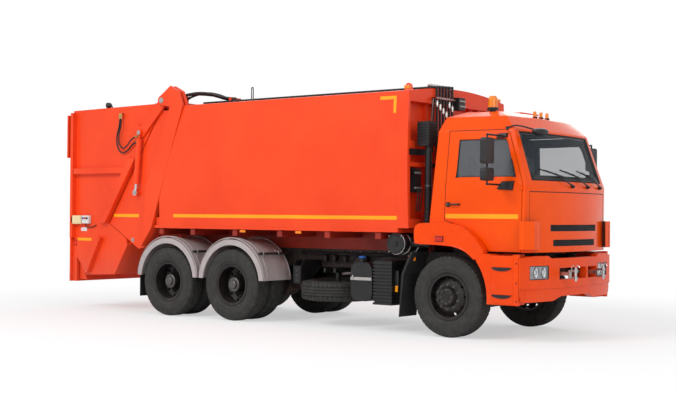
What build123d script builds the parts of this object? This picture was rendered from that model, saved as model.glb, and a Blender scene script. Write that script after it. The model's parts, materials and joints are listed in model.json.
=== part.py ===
from build123d import *
import os
from math import atan2, cos, degrees, radians, sin

# Garbage truck, millimetres. X runs forward from the middle axle, Y to the left, Z up from the ground.
# Every piece is written with X counted from the middle of the whole length.

# Fits and common stock
over = 40.0  # how far a cut runs past what it cuts
running_gap = 0.05
seat_gap = 0.3
plate_gap = 5.0
bar_w = 40.0
sheet_t = 10.0
wall = 28.0

# Container and its front frame, which set the places of the cab and the front axle
body_front_x = 2950.0
front_frame_depth = 172.0
cab_gap = 278.0
cab_axle_back = 290.0
front_frame_x = body_front_x + front_frame_depth
cab_rear_x = front_frame_x + cab_gap
front_axle_x = cab_rear_x + cab_axle_back
subframe_top = 1330.0
body_bottom = 1350.0
body_top = 3190.0
body_half = 1215.0
body_bulge = 35.0
body_crown = 100.0
rear_top_x = -1004.0
rear_foot_x = -1665.0
rear_foot_z = 1327.0
post_inset = 95.0
gusset_w = 40.0
post_in_y = body_half - post_inset
gusset_out_y = post_in_y + gusset_w
post_out_y = body_half + body_bulge

# Wheels and axles
wheel_d = 1050.0
tyre_w = 280.0
rim_d = 572.0
rim_w = 224.0
rim_lip = 14.0
rim_wall = 22.0
disc_t = 24.0
hub_r = 132.0
drum_r = 205.0
hand_holes = 10
hand_hole_r = 20.0
front_hole_circle = 230.0
rear_hole_circle = 240.0
twin_pitch = 330.0
bogie_x = 1320.0
front_wheel_y = 1028.0
twin_outer_y = 1096.0
spindle_r = 45.0
kingpin_y = 850.0
kingpin_r = 24.0
kingpin_h = 264.0
kingpin_boss_r = 55.0
kingpin_boss_h = 132.0
knuckle_h = 240.0
axle_beam = 120.0
axle_tube_r = 74.0
diff_r = 205.0
diff_w = 300.0
diff_nose = 348.0
shaft_r = 44.0
spring_w = 90.0
spring_y = 500.0
spring_end_t = 20.0
spring_middle_t = 90.0
spring_drop = 60.0
front_spring_y = 430.0
front_spring_half = 540.0
front_spring_down = 105.0

# Cab
cab_length = 1520.0
cab_bottom = 1110.0
cab_height = 1790.0
cab_half = 1140.0
cab_wall = 50.0
cab_floor_share = 0.201
cab_front_x = cab_rear_x + cab_length
cab_floor_z = cab_bottom + cab_floor_share * cab_height
door_gap = 6.0
door_pin_r = 14.0
door_pin_y = 1100.0
cab_pivot_x = cab_front_x - 80.0
cab_pivot_z = cab_bottom + 25.0
cab_pin_r = 20.0
cab_ear_y = (360.0, 400.0)
cab_ear_r = 40.0
glass_t = 6.0
fender_out_y = 1240.0
fender_in_y = 820.0

# Chassis frame, engine and gearbox
frame_top = 1065.0
frame_h = 260.0
frame_low = frame_top - frame_h
frame_out_y = 430.0
rail_w = 80.0
rail_t = 12.0
frame_rear_x = -1790.0
frame_front_x = cab_front_x - 230.0
cross_w = 90.0
front_cross_back = 186.0
engine_low = 657.0
engine_back = 441.0
engine_headroom = 126.0
gear_length = 810.0
gear_half = 202.0
gear_z = (725.0, 1025.0)
gear_out_z = 785.0
gear_rear_x = front_axle_x - engine_back - gear_length
radiator_t = 144.0

# Tailgate, its hinge and its lift cylinders
hinge_x = -1464.0
hinge_z = 3291.0
tail_length = 2126.0
hinge_pin_r = 28.0
hinge_boss_r = 75.0
side_inset = 50.0
side_w = 55.0
arm_gap = 5.0
arm_w = 35.0
lift_gap = 20.0
side_out_y = body_half - side_inset
side_in_y = side_out_y - side_w
arm_in_y = side_out_y + arm_gap
arm_out_y = arm_in_y + arm_w
lift_top_x = -1962.0
lift_top_z = 2812.0
lift_foot_x = -2044.0
lift_foot_z = 1880.0
lift_y = arm_out_y + lift_gap
lift_barrel_r = 42.0
lift_rod_r = 22.0
lift_pin_r = 20.0
lift_eye_r = 44.0
underrun_z = (440.0, 560.0)

# Packer and bin lift
packer_gap = 25.0
packer_half = side_in_y - packer_gap
carriage_t = 140.0
carriage_length = 1000.0
blade_length = 700.0
lift_rear_x = -3775.0
bin_pivot_x = -3668.0
bin_pivot_z = 1330.0
bin_pin_r = 19.6

# Bumper, tow jaws and steps
bumper_front_x = cab_front_x
bumper_side_x = cab_front_x - 130.0
bumper_half = 1240.0
bumper_foot = 500.0
bumper_top = 1068.0
bumper_t = 90.0
jaw_pin_x = cab_front_x + 180.0
jaw_r = 30.0
step_front_x = bumper_side_x - 28.0
step_rear_x = front_axle_x + 630.0
step_half = 1240.0

wheel_z = wheel_d / 2
centre_x = (jaw_pin_x + jaw_r + lift_rear_x) / 2

# Outlines behind the container, as (share of the tailgate's length, share of the hinge's height)
side_shares = (
    (0.052, 0.989), (1.005, 0.982), (1.000, 0.289), (0.840, 0.168), (0.527, 0.176),
    (0.389, 0.319), (0.403, 0.352), (0.599, 0.426), (0.044, 0.964),
)
post_shares = ((-0.216, 0.971), (-0.093, 0.978), (0.150, 0.600), (0.200, 0.318), (0.095, 0.403))
gusset_shares = (
    (-0.080, 0.955), (0.043, 0.955), (0.587, 0.425), (0.267, 0.304), (0.196, 0.318), (0.144, 0.600),
)
hinge_plate_shares = (
    (-0.216, 0.968), (-0.174, 1.038), (-0.091, 1.065), (0.002, 1.025),
    (0.033, 1.006), (0.024, 0.985), (-0.011, 0.977), (-0.093, 0.968),
)
hopper_shares = ((1.000, 0.380), (1.000, 0.289), (0.840, 0.168), (0.527, 0.176), (0.304, 0.406))
ledge_shares = ((0.962, 0.665), (0.370, 0.665), (0.346, 0.693), (0.962, 0.693))
bar_shares = ((0.280, 0.732), (0.599, 0.426), (0.671, 0.426), (0.346, 0.738))
rib_shares = ((0.690, 0.359), (0.652, 0.352), (0.798, 0.182), (0.845, 0.194))
roof_lip_shares = (
    (0.060, 0.982), (1.049, 0.970), (1.049, 0.748), (1.019, 0.748), (1.019, 0.950), (0.075, 0.970),
)

# Outlines of the cab, as (share of its length from the rear, share of its height)
door_shares = (
    (0.148, 0.218), (0.168, 0.855), (0.690, 0.855), (0.720, 0.832), (0.870, 0.486), (0.866, 0.003),
    (0.576, 0.003), (0.520, 0.045), (0.454, 0.101), (0.368, 0.154), (0.283, 0.187), (0.197, 0.207),
)
door_pin_shares = ((0.078, 0.112), (0.430, 0.464))  # heights of the two hinge pins
window_shares = ((0.250, 0.525), (0.263, 0.793), (0.690, 0.793), (0.712, 0.765), (0.805, 0.525))
fender_shares = (
    (-0.122, 0.045), (-0.076, 0.193), (0.164, 0.199), (0.281, 0.179),
    (0.364, 0.144), (0.447, 0.092), (0.512, 0.034), (0.568, 0.001),
)
grille_shares = ((0.170, 0.55), (0.065, 0.50))  # height of each slot, and its half width
# Wind deflector at the cab's front corners, as (share of the length, share of the half width)
deflector_shares = ((0.876, 0.940), (0.880, 1.039), (0.921, 1.031), (0.974, 0.930), (0.974, 0.800))
deflector_z_shares = (0.022, 0.218)
# Level shares of the cab: height, rear, front, corner, half width at the rear, half width at the front
cab_level_shares = (
    (0.000, 0.000, 1.000, 0.900, 1.000, 0.965),
    (0.212, 0.000, 1.000, 0.900, 1.000, 0.965),
    (0.469, 0.030, 0.987, 0.905, 0.990, 0.955),
    (0.860, 0.060, 0.810, 0.760, 0.940, 0.870),
    (0.960, 0.100, 0.690, 0.640, 0.860, 0.770),
    (1.000, 0.220, 0.560, 0.530, 0.700, 0.620),
)

# Front view of the bumper from the middle outward, as (share of the half width, share of the height)
bumper_shares = (
    (0.000, 0.942), (0.500, 0.942), (0.560, 1.000), (0.800, 1.000), (1.000, 0.955),
    (1.000, 0.160), (0.975, 0.045), (0.930, 0.000), (0.460, 0.000), (0.300, 0.095), (0.000, 0.095),
)
# Rear edge of the step panel, as shares of the wheel's diameter (ahead of the axle, above the ground)
step_arch_shares = ((0.537, 1.038), (0.443, 0.954), (0.542, 0.788), (0.597, 0.444))


# Building helpers

def block(x, y, z):
    centre = Pos((x[0] + x[1]) / 2, (y[0] + y[1]) / 2, (z[0] + z[1]) / 2)
    return centre * Box(abs(x[1] - x[0]), abs(y[1] - y[0]), abs(z[1] - z[0]))


def side_plate(outline, y):
    corners = [(px, y[0], pz) for px, pz in outline]
    face = make_face(Polyline(*corners, close=True))
    return extrude(face, amount=y[1] - y[0], dir=(0, 1, 0))


def cross_rod(x, z, radius, y):
    return Pos(x, (y[0] + y[1]) / 2, z) * Rot(90, 0, 0) * Cylinder(radius, y[1] - y[0])


def long_rod(y, z, radius, x):
    return Pos((x[0] + x[1]) / 2, y, z) * Rot(0, 90, 0) * Cylinder(radius, x[1] - x[0])


def up_rod(x, y, radius, z):
    return Pos(x, y, (z[0] + z[1]) / 2) * Cylinder(radius, z[1] - z[0])


def turned(profile, x, y, z, facing):
    """A body of revolution about Y from (radius, distance outward) points."""
    corners = [(radius, facing * out, 0) for radius, out in profile]
    face = make_face(Polyline(*corners, close=True))
    return Pos(x, y, z) * revolve(face, axis=Axis.Y)


def both_sides(shape):
    return Compound(list(shape.solids()) + list(mirror(shape, about=Plane.XZ).solids()))


def spread(middle, half):
    return (middle - half, middle + half)


def rear_points(shares):
    return [(hinge_x - sx * tail_length, sz * hinge_z) for sx, sz in shares]


def cab_points(shares):
    return [(cab_rear_x + sx * cab_length, cab_bottom + sz * cab_height) for sx, sz in shares]


def strut(start, end, width, y):
    """A round-ended bar in the XZ plane from start to end, as thick as y."""
    length = ((end[0] - start[0]) ** 2 + (end[1] - start[1]) ** 2) ** 0.5
    turn = degrees(atan2(end[1] - start[1], end[0] - start[0]))
    middle = Pos((start[0] + end[0]) / 2, (y[0] + y[1]) / 2, (start[1] + end[1]) / 2)
    bar = middle * Rot(0, -turn, 0) * Box(length, y[1] - y[0], width)
    ends = [cross_rod(px, pz, width / 2, y) for px, pz in (start, end)]
    return bar + ends[0] + ends[1]


def side_box(x, y, z, radius, axis):
    box = block(x, y, z)
    return fillet(box.edges().filter_by(axis), radius)


def write(name, shape):
    solids = shape.solids()
    moved = Pos(-centre_x, 0, 0) * (Compound(list(solids)) if len(solids) > 1 else solids[0])
    export_step(moved, f"parts/{name}.step")


# Wheels

tyre_bead_r = rim_d / 2 + seat_gap
flange_r = rim_d / 2 + rim_lip
barrel_r = rim_d / 2 - rim_wall
tyre_shares = ((0.0, 0.70), (0.07, 0.70), (0.28, 0.96), (0.55, 1.0), (0.94, 0.87), (1.0, 0.58))
bead_y = tyre_shares[0][1] * tyre_w / 2 + seat_gap


def tyre_profile():
    depth = wheel_d / 2 - tyre_bead_r
    half = [(tyre_bead_r + sr * depth, sw * tyre_w / 2) for sr, sw in tyre_shares]
    return half + [(r, -w) for r, w in reversed(half)]


def rim_barrel():
    return [
        (barrel_r, -rim_w / 2), (flange_r, -rim_w / 2), (flange_r, -bead_y), (rim_d / 2, -bead_y),
        (rim_d / 2, bead_y), (flange_r, bead_y), (flange_r, rim_w / 2), (barrel_r, rim_w / 2),
    ]


def hole_ring(x, y, circle, depth):
    """The rods that cut a ring of hand holes through a wheel disc."""
    rod = Pos(circle, 0, 0) * Rot(90, 0, 0) * Cylinder(hand_hole_r, depth)
    turns = [index * 360 / hand_holes for index in range(hand_holes)]
    return [Pos(x, y, wheel_z) * Rot(0, turn, 0) * rod for turn in turns]


def front_rim(x, y, facing):
    barrel = turned(rim_barrel(), x, y, wheel_z, facing)
    dish_out = rim_w / 2 - rim_lip
    r = rim_d / 2 - rim_wall / 2
    bore = spindle_r + running_gap
    centre = turned(
        [
            (r, dish_out - 4 * disc_t), (r, dish_out - 3 * disc_t), (hub_r + 2 * disc_t, dish_out),
            (hub_r, dish_out), (hub_r - disc_t, dish_out + 2 * disc_t), (bore, dish_out + 2 * disc_t),
            (bore, -rim_w / 2 + disc_t), (drum_r, -rim_w / 2 + disc_t), (drum_r, -rim_w / 2 + 6 * disc_t),
            (hub_r + 2 * disc_t, dish_out - disc_t),
        ],
        x, y, wheel_z, facing,
    )
    return barrel + centre - hole_ring(x, y, front_hole_circle, rim_w)


def twin_rim(facing):
    outer_y = facing * twin_outer_y
    outer = turned(rim_barrel(), 0, outer_y, wheel_z, facing)
    inner = turned(rim_barrel(), 0, facing * (twin_outer_y - twin_pitch), wheel_z, facing)
    r = rim_d / 2 - rim_wall / 2
    bore = axle_tube_r + running_gap - disc_t
    disc = -twin_pitch / 2
    centre = turned(
        [
            (r, disc + 3 * disc_t), (r, disc + 2 * disc_t), (hub_r + 3 * disc_t, disc + disc_t),
            (drum_r, disc - disc_t), (drum_r, disc - 9 * disc_t), (bore, disc - 9 * disc_t),
            (bore, rim_w / 2 - 2 * disc_t), (hub_r - disc_t, rim_w / 2 - 2 * disc_t),
            (hub_r, disc + 3 * disc_t), (hub_r + 3 * disc_t, disc + 2 * disc_t),
        ],
        0, outer_y, wheel_z, facing,
    )
    web = turned(
        [
            (drum_r - disc_t, disc - disc_t), (r, disc - disc_t),
            (r, disc - 3 * disc_t), (drum_r - disc_t, disc - 3 * disc_t),
        ],
        0, outer_y, wheel_z, facing,
    )
    holes = hole_ring(0, facing * (twin_outer_y + disc), rear_hole_circle, twin_pitch)
    return outer + inner + centre + web - holes


def make_wheels():
    for side, facing in (("right", -1), ("left", 1)):
        y = facing * front_wheel_y
        write(f"front_tyre_{side}", turned(tyre_profile(), front_axle_x, y, wheel_z, facing))
        write(f"front_rim_{side}", front_rim(front_axle_x, y, facing))
        ys = (facing * twin_outer_y, facing * (twin_outer_y - twin_pitch))
        tyres = Compound([turned(tyre_profile(), 0, ty, wheel_z, facing).solids()[0] for ty in ys])
        rims = twin_rim(facing)
        for axle, x in (("middle", 0), ("rear", -bogie_x)):
            write(f"{axle}_tyres_{side}", Pos(x, 0, 0) * tyres)
            write(f"{axle}_rims_{side}", Pos(x, 0, 0) * rims)


# Axles, springs and steering knuckles

def leaf_spring(x, y, end_z, middle_z, thick):
    """A pack of leaves in side view, thin at its ends and thick in the middle."""
    start = Vector(x[0], y[0], end_z)
    end = Vector(x[1], y[0], end_z)
    down = Vector(0, 0, -thick[0])
    middle = Vector((x[0] + x[1]) / 2, y[0], middle_z)
    edges = [
        ThreePointArc(start, middle, end),
        Line(end, end + down),
        ThreePointArc(end + down, middle - Vector(0, 0, thick[1]), start + down),
        Line(start + down, start),
    ]
    return extrude(make_face(Wire(edges)), amount=y[1] - y[0], dir=(0, 1, 0))


def make_front_axle():
    beam_top = wheel_z - axle_beam / 2
    beam_x = spread(front_axle_x, axle_beam / 2)
    reach = kingpin_y - 1.3 * kingpin_boss_r
    boss_z = spread(wheel_z, kingpin_boss_h / 2)
    arm_z = spread(wheel_z, axle_beam / 2)
    axle = block(beam_x, (-reach, reach), (beam_top - axle_beam, beam_top))
    spring_z = frame_low - front_spring_down
    for facing in (-1, 1):
        y = facing * kingpin_y
        axle += up_rod(front_axle_x, y, kingpin_boss_r, boss_z)
        axle += up_rod(front_axle_x, y, kingpin_r, spread(wheel_z, kingpin_h / 2))
        end_y = (facing * (reach - axle_beam), facing * reach)
        axle += block(beam_x, end_y, (beam_top - axle_beam / 2, arm_z[1]))
        axle += block(spread(front_axle_x, kingpin_boss_r), sorted((facing * (reach - bar_w), y)), arm_z)

        spring_y_range = spread(facing * front_spring_y, spring_w / 2)
        axle += leaf_spring(
            spread(front_axle_x, front_spring_half), spring_y_range, spring_z, spring_z - spring_drop,
            (spring_end_t, spring_middle_t),
        )
        pad_z = (beam_top - bar_w, spring_z - spring_drop - spring_middle_t / 2)
        axle += block(spread(front_axle_x, spring_w), spring_y_range, pad_z)
        for end in (-1, 1):
            x = front_axle_x + end * (front_spring_half - spring_w / 2)
            axle += block(spread(x, spring_w / 2), spring_y_range, (spring_z - spring_end_t, frame_low))
    write("front_axle", axle)


def make_rear_axles():
    hub_out = twin_outer_y + rim_w / 2 - 2 * disc_t
    hub_in = twin_outer_y - twin_pitch / 2 - 9 * disc_t
    axles = None
    for x in (0, -bogie_x):
        axle = cross_rod(x, wheel_z, axle_tube_r, (-hub_in + bar_w / 2, hub_in - bar_w / 2))
        axle += cross_rod(x, wheel_z, axle_tube_r - disc_t, (-hub_out, hub_out))
        axle += cross_rod(x, wheel_z, diff_r, spread(0, diff_w / 2))
        axle += long_rod(0, wheel_z, diff_r / 2, (x, x + diff_nose))
        for facing in (-1, 1):
            seat_y = spread(facing * spring_y, spring_w / 2)
            axle += block(spread(x, spring_w / 2), seat_y, (wheel_z, wheel_z + axle_tube_r + bar_w))
        axles = axle if axles is None else axles + axle

    # Propeller shafts to the middle axle and on to the rear one
    start_x = diff_nose - bar_w
    joint_x = gear_rear_x - bar_w
    rise = gear_out_z - wheel_z
    run = joint_x - start_x
    turn = degrees(atan2(rise, run))
    place = Pos((joint_x + start_x) / 2, 0, wheel_z + rise / 2) * Rot(0, 90 - turn, 0)
    axles += place * Cylinder(shaft_r, (rise**2 + run**2) ** 0.5)
    axles += long_rod(0, gear_out_z, shaft_r, (joint_x - bar_w, gear_rear_x - seat_gap))
    axles += long_rod(0, wheel_z, shaft_r, (diff_nose - bogie_x - bar_w, bar_w - diff_r))

    middle = -bogie_x / 2
    leaf_z = wheel_z + axle_tube_r - sheet_t
    for facing in (-1, 1):
        y = spread(facing * spring_y, spring_w / 2)
        ends = spread(middle, bogie_x / 2 + spring_w)
        axles += leaf_spring(
            ends, y, leaf_z + spring_w / 2, leaf_z + 2 * spring_w, (spring_w / 2, 2 * spring_w - spring_drop),
        )
        axles += block(spread(middle, spring_w), y, (wheel_z - 1.5 * spring_w, frame_low))
        bracket_y = sorted((facing * frame_out_y, facing * (spring_y + spring_w / 2)))
        axles += block(spread(middle, spring_w), bracket_y, spread(frame_low, bar_w))
    trunnion_z = wheel_z - 1.05 * spring_w
    axles += cross_rod(middle, trunnion_z, axle_tube_r / 2, (-spring_y, spring_y))
    write("rear_axles", axles)


def make_knuckles():
    x = front_axle_x
    for side, facing in (("right", -1), ("left", 1)):
        y = facing * kingpin_y
        lug_in = kingpin_boss_h / 2 + seat_gap
        lug_out = knuckle_h / 2
        web_y = (kingpin_y + 1.1 * kingpin_boss_r, kingpin_y + 1.42 * kingpin_boss_r)
        knuckle = None
        for up in (-1, 1):
            z = sorted((wheel_z + up * lug_in, wheel_z + up * lug_out))
            lug = up_rod(x, y, kingpin_boss_r, z)
            lug += block(spread(x, kingpin_boss_r), sorted((y, facing * web_y[1])), z)
            lug -= up_rod(x, y, kingpin_r + running_gap, (z[0] - over, z[1] + over))
            knuckle = lug if knuckle is None else knuckle + lug
        web_z = spread(wheel_z, lug_out)
        knuckle += block(spread(x, kingpin_boss_r), sorted((facing * web_y[0], facing * web_y[1])), web_z)
        end = facing * (front_wheel_y + rim_w / 2 + disc_t)
        knuckle += cross_rod(x, wheel_z, spindle_r, sorted((facing * web_y[0], end)))
        write(f"knuckle_{side}", knuckle)


# Chassis frame, engine and what hangs on the rails

cross_shares = (0.0, 0.262, 0.448, 0.679, 0.957)  # places between the frame's rear and the gearbox


def make_frame():
    frame = None
    for facing in (-1, 1):
        ys = sorted((facing * frame_out_y, facing * (frame_out_y - rail_w)))
        rail = block((frame_rear_x, frame_front_x), ys, (frame_low, frame_top))
        inner = sorted((facing * (frame_out_y - rail_t), facing * (frame_out_y - rail_w - over)))
        channel_z = (frame_low + rail_t, frame_top - rail_t)
        rail -= block((frame_rear_x - over, frame_front_x + over), inner, channel_z)
        frame = rail if frame is None else frame + rail
    reach = frame_out_y - rail_t / 2
    places = [frame_rear_x + share * (gear_rear_x - frame_rear_x - cross_w) for share in cross_shares]
    for x in places + [frame_front_x - front_cross_back]:
        frame += block((x, x + cross_w), (-reach, reach), (frame_low + rail_t, frame_top - 4 * rail_t))
    ear_rear_x = frame_front_x - 3 * cab_ear_r
    ear = side_plate(
        [
            (ear_rear_x, frame_top), (frame_front_x, frame_top),
            (cab_pivot_x, cab_pivot_z - cab_ear_r), (cab_pivot_x, cab_pivot_z + cab_ear_r),
            (ear_rear_x, cab_pivot_z + cab_ear_r),
        ],
        cab_ear_y,
    )
    ear += cross_rod(cab_pivot_x, cab_pivot_z, cab_ear_r, cab_ear_y)
    bore_y = (cab_ear_y[0] - over, cab_ear_y[1] + over)
    ear -= cross_rod(cab_pivot_x, cab_pivot_z, cab_pin_r + running_gap, bore_y)
    frame += both_sides(ear)
    write("chassis_frame", frame)


def make_engine():
    radiator_front = frame_front_x - front_cross_back - seat_gap
    radiator_x = (radiator_front - radiator_t, radiator_front)
    engine_x = (front_axle_x - engine_back, radiator_x[0] - rail_t)
    engine_top = cab_floor_z - engine_headroom
    half = frame_out_y - rail_w - 2 * rail_t
    engine = side_box(engine_x, (-half, half), (engine_low, engine_top), rail_w / 2, Axis.X)
    mount_x = (front_axle_x + cross_w, front_axle_x + 2 * cross_w)
    for facing in (-1, 1):
        ys = sorted((facing * half / 2, facing * (frame_out_y - rail_t)))
        engine += block(mount_x, ys, (frame_top, frame_top + rail_t))
    gear = side_box((gear_rear_x, engine_x[0] + bar_w), (-gear_half, gear_half), gear_z, rail_w / 2, Axis.X)
    between = frame_out_y - rail_t - seat_gap
    under_flange = frame_top - rail_t - seat_gap
    hanger_x = (gear_rear_x + 2 * cross_w, gear_rear_x + 3 * cross_w)
    gear += block(hanger_x, (-between, between), (under_flange - 1.5 * rail_t, under_flange))
    gear += block(hanger_x, (-rail_w, rail_w), (frame_low, under_flange))

    radiator_half = frame_out_y - rail_w - rail_t
    radiator = block(radiator_x, (-radiator_half, radiator_half), (engine_low, engine_top))
    reach = frame_out_y - rail_t / 2
    radiator += block(radiator_x, (-reach, reach), (frame_top, frame_top + rail_t))
    write("engine_block", Compound(list((engine + gear).solids()) + list(radiator.solids())))


outer_y = 1150.0
tank_x = (front_axle_x - 1550.0, front_axle_x - 1200.0)
tank_z = (400.0, 920.0)
tank_in_y = 560.0
tank_round = 110.0
strap_w = 40.0
strap_t = 6.0
cap_r = 40.0
cap_h = 56.0
guard_x = (front_axle_x - 1183.0, front_axle_x - 873.0)
guard_z = (366.0, 953.0)
louvre_count = 13
louvre_depth = 16.0
filter_x = front_axle_x - 820.0
filter_z = 1184.0
filter_r = 138.0
filter_in_y = 760.0
stack_gap = 28.0
stack_w = 180.0
stack_x = (front_frame_x + stack_gap, front_frame_x + stack_gap + stack_w)
stack_y = (870.0, 1080.0)
stack_z = (2470.0, 2790.0)
stack_pipe_r = 45.0
stack_rings = 7
mesh_columns = 4
mesh_rows = 7
mesh_depth = 12.0
spare_x = 1495.0
spare_y = -600.0
spare_z = 490.0
left_tank_back = 1340.0
left_tank_length = 1200.0
left_tank_front_x = front_axle_x - left_tank_back
left_tank_x = (left_tank_front_x - left_tank_length, left_tank_front_x)
left_tank_z = (420.0, 1000.0)
battery_back = 800.0
battery_length = 440.0
battery_front_x = front_axle_x - battery_back
battery_x = (battery_front_x - battery_length, battery_front_x)
battery_z = (540.0, 960.0)
air_tank_r = 88.0
air_tank_y = (656.0, 905.0)
air_tank_z = 500.0
bracket_z = (frame_low + rail_t, frame_low + 2 * bar_w)


def make_right_tank():
    tank = side_box(tank_x, (-outer_y, -tank_in_y), tank_z, tank_round, Axis.Y)
    middle = (tank_z[0] + tank_z[1]) / 2
    strap_x = (tank_x[0] - strap_t, tank_x[1] + strap_t)
    tank += block(strap_x, (-outer_y - strap_t, -tank_in_y - strap_t), (middle, middle + strap_w))
    cap_z = (tank_z[1] - over, tank_z[1] + cap_h)
    tank += up_rod(tank_x[0] + tank_round, -outer_y + tank_round, cap_r, cap_z)
    hanger_x = (tank_x[0] + tank_round, tank_x[1] - tank_round)
    tank += block(hanger_x, (-tank_in_y - bar_w, -frame_out_y), bracket_z)
    write("right_tank", tank)


def make_louvred_box():
    box = block(guard_x, (-outer_y, -frame_out_y - seat_gap), guard_z)
    pitch = (guard_z[1] - guard_z[0]) / louvre_count
    long_y = (-outer_y - over, -tank_in_y)
    shallow_y = (-outer_y - over, -outer_y + louvre_depth)
    for index in range(louvre_count):
        z = guard_z[0] + (index + 0.62) * pitch
        slot_z = (z, z + pitch * 0.38)
        slot = block((guard_x[0] - over, guard_x[1] + over), shallow_y, slot_z)
        slot += block((guard_x[0] - over, guard_x[0] + louvre_depth), long_y, slot_z)
        slot += block((guard_x[1] - louvre_depth, guard_x[1] + over), long_y, slot_z)
        box -= slot
    write("louvred_box", box)


def intake_mesh():
    """Staggered diamond recesses in the outer face of the intake's head."""
    column = (stack_x[1] - stack_x[0]) / (mesh_columns + 1)
    row = (stack_z[1] - stack_z[0]) / (mesh_rows + 1)
    diamond = Rot(0, 45, 0) * Box(0.44 * row, 2 * mesh_depth, 0.44 * row)
    cells = []
    for across in range(mesh_columns):
        for up in range(mesh_rows):
            x = stack_x[0] + (across + 0.75 + 0.5 * (up % 2)) * column
            cells.append(Pos(x, -stack_y[1], stack_z[0] + (up + 1) * row) * diamond)
    return cells


def make_air_intake():
    drum = cross_rod(filter_x, filter_z, filter_r, (-outer_y, -filter_in_y))
    band_y = (-outer_y + 1.5 * strap_w, -outer_y + 2.5 * strap_w)
    drum += cross_rod(filter_x, filter_z, filter_r + strap_t, band_y)
    foot_z = (frame_top + seat_gap, filter_z)
    drum += block(spread(filter_x, bar_w), (-filter_in_y - bar_w, -frame_out_y), foot_z)
    head = side_box(stack_x, (-stack_y[1], -stack_y[0]), stack_z, bar_w / 2, Axis.Z)
    head -= intake_mesh()
    pipe_x = stack_x[1] - 1.4 * stack_pipe_r
    pipe_y = -(stack_y[0] + stack_y[1]) / 2
    pipe = up_rod(pipe_x, pipe_y, stack_pipe_r, (filter_z, stack_z[0] + over))
    for index in range(stack_rings):
        z = filter_z + (index + 3) * stack_pipe_r
        pipe += up_rod(pipe_x, pipe_y, stack_pipe_r * 1.3, (z, z + stack_pipe_r / 2))
    pipe += long_rod(pipe_y, filter_z, stack_pipe_r, (filter_x + filter_r / 2, pipe_x))
    pipe += Pos(pipe_x, pipe_y, filter_z) * Sphere(stack_pipe_r)
    stay_z = (stack_z[0] - 3 * bar_w, stack_z[0] - bar_w)
    pipe += block((front_frame_x, pipe_x), spread(pipe_y, strap_t), stay_z)
    pipe += block((front_frame_x, front_frame_x + sheet_t), (-body_half, pipe_y), stay_z)
    write("air_intake", drum + head + pipe)


def make_spare_wheel():
    ring = revolve(make_face(Polyline(*[(r, 0, w) for r, w in tyre_profile()], close=True)), axis=Axis.Z)
    write("spare_tyre", Pos(spare_x, spare_y, spare_z) * ring)
    rim = revolve(
        make_face(Polyline(
            (0, 0, 0), (barrel_r, 0, 0), (barrel_r, 0, rim_w / 2), (flange_r, 0, rim_w / 2),
            (flange_r, 0, bead_y), (rim_d / 2, 0, bead_y), (rim_d / 2, 0, -bead_y), (flange_r, 0, -bead_y),
            (flange_r, 0, -rim_w / 2), (barrel_r, 0, -rim_w / 2), (barrel_r, 0, -disc_t), (0, 0, -disc_t),
            close=True,
        )),
        axis=Axis.Z,
    )
    carrier = Pos(spare_x, spare_y, spare_z) * rim
    carrier += up_rod(spare_x, spare_y, bar_w, (spare_z, frame_low - bar_w))
    hanger_z = (frame_low - 1.5 * bar_w, frame_low)
    hanger_y = (spare_y - 5 * bar_w, frame_out_y - rail_w)
    for end in (-1, 1):
        carrier += block(spread(spare_x + end * 2.2 * bar_w, bar_w / 2), hanger_y, hanger_z)
    carrier += block(spread(spare_x, 2.5 * bar_w), spread(spare_y, bar_w), hanger_z)
    write("spare_carrier", carrier)


def make_left_gear():
    tank = side_box(left_tank_x, (tank_in_y, outer_y), left_tank_z, tank_round, Axis.X)
    for share in (0.2, 0.8):
        x = left_tank_x[0] + share * (left_tank_x[1] - left_tank_x[0])
        band_y = (tank_in_y - strap_t, outer_y + strap_t)
        band_z = (left_tank_z[0] - strap_t, left_tank_z[1] + strap_t)
        tank += side_box((x, x + strap_w), band_y, band_z, tank_round, Axis.X)
        tank += block((x, x + strap_w), (frame_out_y, tank_in_y + bar_w), bracket_z)
    cap_z = (left_tank_z[1] - over, left_tank_z[1] + cap_r)
    tank += up_rod(left_tank_x[1] - tank_round, outer_y - 1.4 * tank_round, cap_r, cap_z)
    write("fuel_tank", tank)

    battery = block(battery_x, (tank_in_y, outer_y), battery_z)
    hanger_x = (battery_x[0] + bar_w, battery_x[1] - bar_w)
    battery += block(hanger_x, (frame_out_y, tank_in_y + bar_w), bracket_z)
    for y in air_tank_y:
        battery += long_rod(y, air_tank_z, air_tank_r, battery_x)
    write("battery_box", battery)


# Subframe, container and its front frame

sub_cross_shares = (0.06, 0.20, 0.38, 0.56, 0.74, 0.92)
sub_beam_w = 90.0


def make_subframe():
    sub = None
    rear_x = frame_rear_x - bar_w
    for facing in (-1, 1):
        ys = sorted((facing * frame_out_y, facing * (frame_out_y - sub_beam_w)))
        beam = block((rear_x, body_front_x), ys, (frame_top, subframe_top))
        sub = beam if sub is None else sub + beam
    reach = body_half - wall
    for share in sub_cross_shares:
        x = rear_x + share * (body_front_x - rear_x)
        sub += block((x, x + sub_beam_w), (-reach, reach), (subframe_top - sub_beam_w, subframe_top))
    write("subframe", sub)


floor_share = 0.29  # how far the floor reaches behind the hinge, as a share of the tailgate's length


def body_section(x, inset):
    half = body_half - inset
    bulge = half + body_bulge
    top = body_top - inset
    low = body_bottom + inset
    middle = (top + low) / 2
    edges = [
        Line((x, -half, low), (x, half, low)),
        ThreePointArc((x, half, low), (x, bulge, middle), (x, half, top)),
        ThreePointArc((x, half, top), (x, 0, top + body_crown), (x, -half, top)),
        ThreePointArc((x, -half, top), (x, -bulge, middle), (x, -half, low)),
    ]
    return make_face(Wire(edges))


def body_tube(x, inset):
    return extrude(body_section(x[0], inset), amount=x[1] - x[0], dir=(1, 0, 0))


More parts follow.
